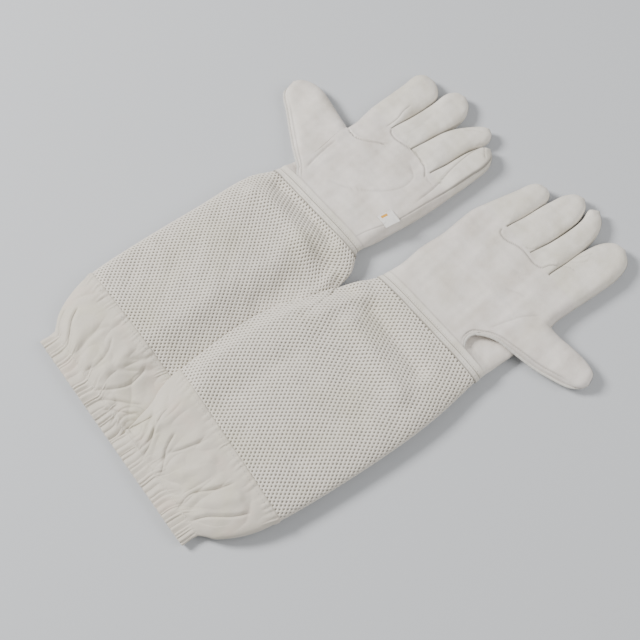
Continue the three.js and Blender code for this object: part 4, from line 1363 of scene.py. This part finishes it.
def heel(hand, g):
    """The heel of the thumb's leather, below the welt."""
    inner, rows = g["heel_inner"], np.linspace(0, 1, 70)
    start, end = hand.wrist_x(inner[0][1]), inner[-1][0]
    near = on_line(mix(start, end, rows), through(inner))
    far = on_line(mix(hand.wrist_x(g["hand_thumb"][0][1]), end + 4, rows), hand.y_thumb)
    grid = between(near, far, 1 - (1 - np.linspace(0, 1, 60)) ** 1.8)
    rim = on_line(np.linspace(g["hand_thumb"][0][0], end + 20, 40), hand.y_thumb)
    d, _share, _side = nearest(grid, rim)
    lift = 14.2 - 1.8 * smooth(grid[..., 0], start, end) + 0.3 * wobble(grid, 16, 9)
    z = RIM + (lift - RIM) * roll(d / 13)
    z = hand.meet_sleeve(grid, z, 1, reach=10, sink=1.2 * smooth(d, 0, 18))
    leather(g, "heel_leather", grid, z, GOAT, "thumb_heel", wrist_blend)


def thumb(hand, g):
    """The thumb's front, and its back, whose root lies against the back of the hand."""
    grid = between(along(hand.inner, TO_TIP), along(hand.outer, TO_TIP), across_shares(80))
    z = hand.top(grid, hand.edges)
    leather(g, "thumb_leather", grid, z, GOAT, "thumb_front", thumb_blend, dark=hand.dark)
    d, _share, _side = nearest(grid, np.stack([grid[0, -1], grid[0, 0]]))
    z = mix(hand.low(grid, hand.hand_under) - 0.15, hand.low(grid, hand.thumb_under), smooth(d, 0, 11))
    leather(g, "thumb_under_leather", grid, z, GOAT_BACK, "thumb_back", thumb_blend, up=-1)


def welt(hand, g):
    """The rolled welt from the wrist to the thumb's tip, the walls below it and the stitches beside it."""
    name = g["name"]
    share, length = shares(hand.welt)
    t = np.linspace(0.05, 0.93, 150)
    p = with_z(along(hand.welt, t), np.interp(t, share, hand.welt_height) + 0.5)
    ahead = np.gradient(p[:, :2], axis=0)
    side = unit(np.stack([-ahead[:, 1], ahead[:, 0]], -1)) * g["out"]
    p[:, :2] += side * 0.7
    up = np.tile([0.0, 0.0, 1.0], (len(p), 1))
    radius = 1.35 * smooth(t, 0.05, 0.09) * (1 - smooth(t, 0.86, 0.93)) + 0.15
    radius = radius * (1 + 0.05 * np.sin(t * length / 2.4 * math.tau / 2))
    split = int(np.searchsorted(t, share[hand.thumb_start]))
    for place, part, turn in (
        ("palm", slice(0, split + 1), wrist_blend),
        ("thumb", slice(split - 1, None), thumb_blend),
    ):
        cord = tube(f"{name}_{place}_piping", p[part], up[part], radius[part], SPLIT,
                    squash=0.85, sides=12)
        if place == "thumb":
            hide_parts(f"{name}_thumb_welt")
        turn(cord, g)
    # The walls close the thumb and the pocket below the welt.
    reach = np.searchsorted(share, mix(share[hand.thumb_start], 1, g["welt_drop"][1])) + 2
    for place, part, turn in (
        ("heel_side", slice(1, hand.thumb_start + 3), wrist_blend),
        ("thumb_side", slice(hand.thumb_start - 1, reach), thumb_blend),
    ):
        h = np.linspace(0, 1, 9)
        high = hand.welt_height[part][:, None] - 0.5
        inset = 0.4 + 1.0 * np.sin(h * math.pi / 2) ** 1.5 * np.clip((high - RIM) / 5, 0, 1)
        z = mix(RIM - 0.4, np.maximum(high, RIM), h[None])
        turn(wall(f"{name}_{place}_leather", hand.welt[part], hand.inward[part], inset, z, GOAT), g)
    p[:, :2] -= side * 3.4
    p[:, 2] = hand.top(p[:, :2], hand.edges)
    for place, part, turn in (
        ("palm", slice(8, split), wrist_blend),
        ("thumb", slice(split, -10), thumb_blend),
    ):
        row = stitches(f"{name}_{place}_stitches", p[part], up[part],
                       pitch=2.6, length=1.7, radius=0.24, lift=0.02)
        turn(row, g)


def finger_pieces(hand, g, finger):
    """A finger's front and back, and the strips that join them beside its neighbours."""
    lines, tops, lows = hand.fingers[finger]
    grid = between(along(lines[0], TO_TIP), along(lines[1], TO_TIP), across_shares(64))
    z, name = hand.top(grid, tops + hand.edges), f"{finger}_palm_leather"
    leather(g, name, grid, z, GOAT_FINGER, f"{finger}_front", finger_blend, finger, dark=hand.dark)
    z, name = hand.low(grid, lows), f"{finger}_back_leather"
    leather(g, name, grid, z, GOAT_BACK, f"{finger}_back", finger_blend, finger, up=-1)
    t, h = np.linspace(0, 0.86, 70), np.linspace(0, 1, 10)
    swell = 0.15 + 0.5 * (1 - np.sin(math.pi * h)) ** 2
    for line, inner, side, top, low, other in zip(
            lines, INNER_SIDES[finger], ("little", "thumb"), tops, lows, lines[::-1]):
        if not inner:
            continue
        p = along(line, t)
        high, deep = np.interp(t, top[1], top[2]) + 0.2, np.interp(t, low[1], low[2]) - 0.2
        z = mix(deep[:, None], high[:, None], h[None])
        name = f"{g['name']}_{finger}_{side}_side_leather"
        strip = wall(name, p, unit(along(other, t) - p), swell[None], z, SPLIT)
        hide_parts(f"{g['name']}_{finger}_strip_{side}_side")
        finger_blend(strip, g, finger)


def hand_pieces(g, sleeve):
    """All leather of one hand."""
    hand = Hand(g, sleeve)
    for make_pieces in (palm_and_back, heel, thumb, welt):
        make_pieces(hand, g)
    for finger in hand.fingers:
        finger_pieces(hand, g, finger)
    return hand


def label(hand):
    """A small blank folded label, sewn on by its edge toward the palm, with a plain coloured bar."""
    low, high = (np.array(c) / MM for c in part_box("left_sewn_label"))
    u, w = np.meshgrid(np.linspace(0, 1, 30), np.linspace(0, 1, 30), indexing="ij")
    x = mix(low[0] + 0.2, high[0] - 0.2, u)
    y = mix(low[1] + 1.6, high[1] + 0.9, w) - 2.2 * (u - 0.5)
    base = hand.top(np.stack([x, y], -1), hand.palm_edges())
    hung = base[:, -1:] + 1.3 - 2.0 * (1 - w) ** 1.6 + 0.7 * u * (1 - w) + 0.25 * np.sin(math.pi * w)
    grid = np.stack([x, y, np.maximum(base + 1.2, hung)], -1)
    flow = np.stack([u * 16, w * 15, 0 * u], -1)
    piece = leaf("left_blank_label", grid, LABEL, thick=0.6, flow=flow)
    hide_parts("left_sewn_label")
    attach(piece, "left_hand")
    path = grid[1:-1, -3]
    up = np.tile([0.0, 0, 1], (len(path), 1))
    row = stitches("left_label_stitches", path, up, pitch=2.0, length=1.3, radius=0.2)
    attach(row, "left_hand")


for glove in (LEFT, RIGHT):
    sleeve = Sleeve(glove)
    net(sleeve)
    wrist_binding(sleeve)
    cuff(sleeve)
    hand = hand_pieces(glove, sleeve)
    if glove is LEFT:
        label(hand)


# ---------------------------------------------------------------- floor, light and camera

FLOOR_HALF = 30.0  # metres
FLOOR_DROP = 0.0004  # metres below the gloves, so that the surfaces don't coincide
DAYLIGHT = 0.40
LAMP_COLOUR = (1.0, 0.985, 0.965)
# Name, place in metres, power in watts and size in metres. The key stands past the cuffs, on the left
# glove's side, and the fill opposite.
LAMPS = (("key", (-1.2, 1.7, 1.75), 112, 0.8), ("fill", (0.9, -1.1, 1.5), 20, 1.4))


def studio():
    """A pale paper floor, even light all round and two soft lamps."""
    corners = [(x * FLOOR_HALF, y * FLOOR_HALF, 0) for x, y in ((-1, -1), (1, -1), (1, 1), (-1, 1))]
    mesh = bpy.data.meshes.new("floor")
    mesh.from_pydata(corners, [], [(0, 1, 2, 3)])
    floor = bpy.data.objects.new("floor", mesh)
    bpy.context.scene.collection.objects.link(floor)
    n = Nodes("paper_floor")
    n.tree.nodes.remove(n.place.node)
    n.shader.inputs["Base Color"].default_value = grey("#c3c6ca")
    n.shader.inputs["Roughness"].default_value = 0.9
    n.shader.inputs["Specular IOR Level"].default_value = 0.1
    mesh.materials.append(n.material)
    floor.location.z = -FLOOR_DROP
    world = bpy.data.worlds.new("studio")
    bpy.context.scene.world = world
    world.use_nodes = True
    background = world.node_tree.nodes["Background"].inputs
    background[0].default_value = (1.0, 1.0, 1.0, 1)
    background[1].default_value = DAYLIGHT
    for name, place, power, size in LAMPS:
        light = bpy.data.lights.new(name, "AREA")
        light.energy, light.size, light.color = power, size, LAMP_COLOUR
        lamp = bpy.data.objects.new(name, light)
        lamp.location = place
        lamp.rotation_euler = (-Vector(place)).to_track_quat("-Z", "Y").to_euler()
        bpy.context.scene.collection.objects.link(lamp)


AZIMUTH, ELEVATION = math.radians(-36), math.radians(68)
DISTANCE, LENS = 1.3, 75.4  # metres and millimetres
AIM_SHIFT = (-0.0303, -0.0115)  # metres, of the aim from the middle of the pair


def camera():
    """The camera, aimed near the middle of the pair with no roll."""
    middle = (np.array(CAD_BOX[0]) + np.array(CAD_BOX[1])) / 2
    aim = Vector((middle[0] + AIM_SHIFT[0], middle[1] + AIM_SHIFT[1], 0))
    level = math.cos(ELEVATION)
    back = Vector((math.sin(AZIMUTH) * level, -math.cos(AZIMUTH) * level, math.sin(ELEVATION)))
    right = Vector((math.cos(AZIMUTH), math.sin(AZIMUTH), 0))
    data = bpy.data.cameras.new("camera")
    data.lens = LENS
    eye = bpy.data.objects.new("camera", data)
    turn = Matrix((right, back.cross(right), back)).transposed().to_4x4()
    eye.matrix_world = Matrix.Translation(aim + back * DISTANCE) @ turn
    bpy.context.scene.collection.objects.link(eye)
    bpy.context.scene.camera = eye


studio()
camera()
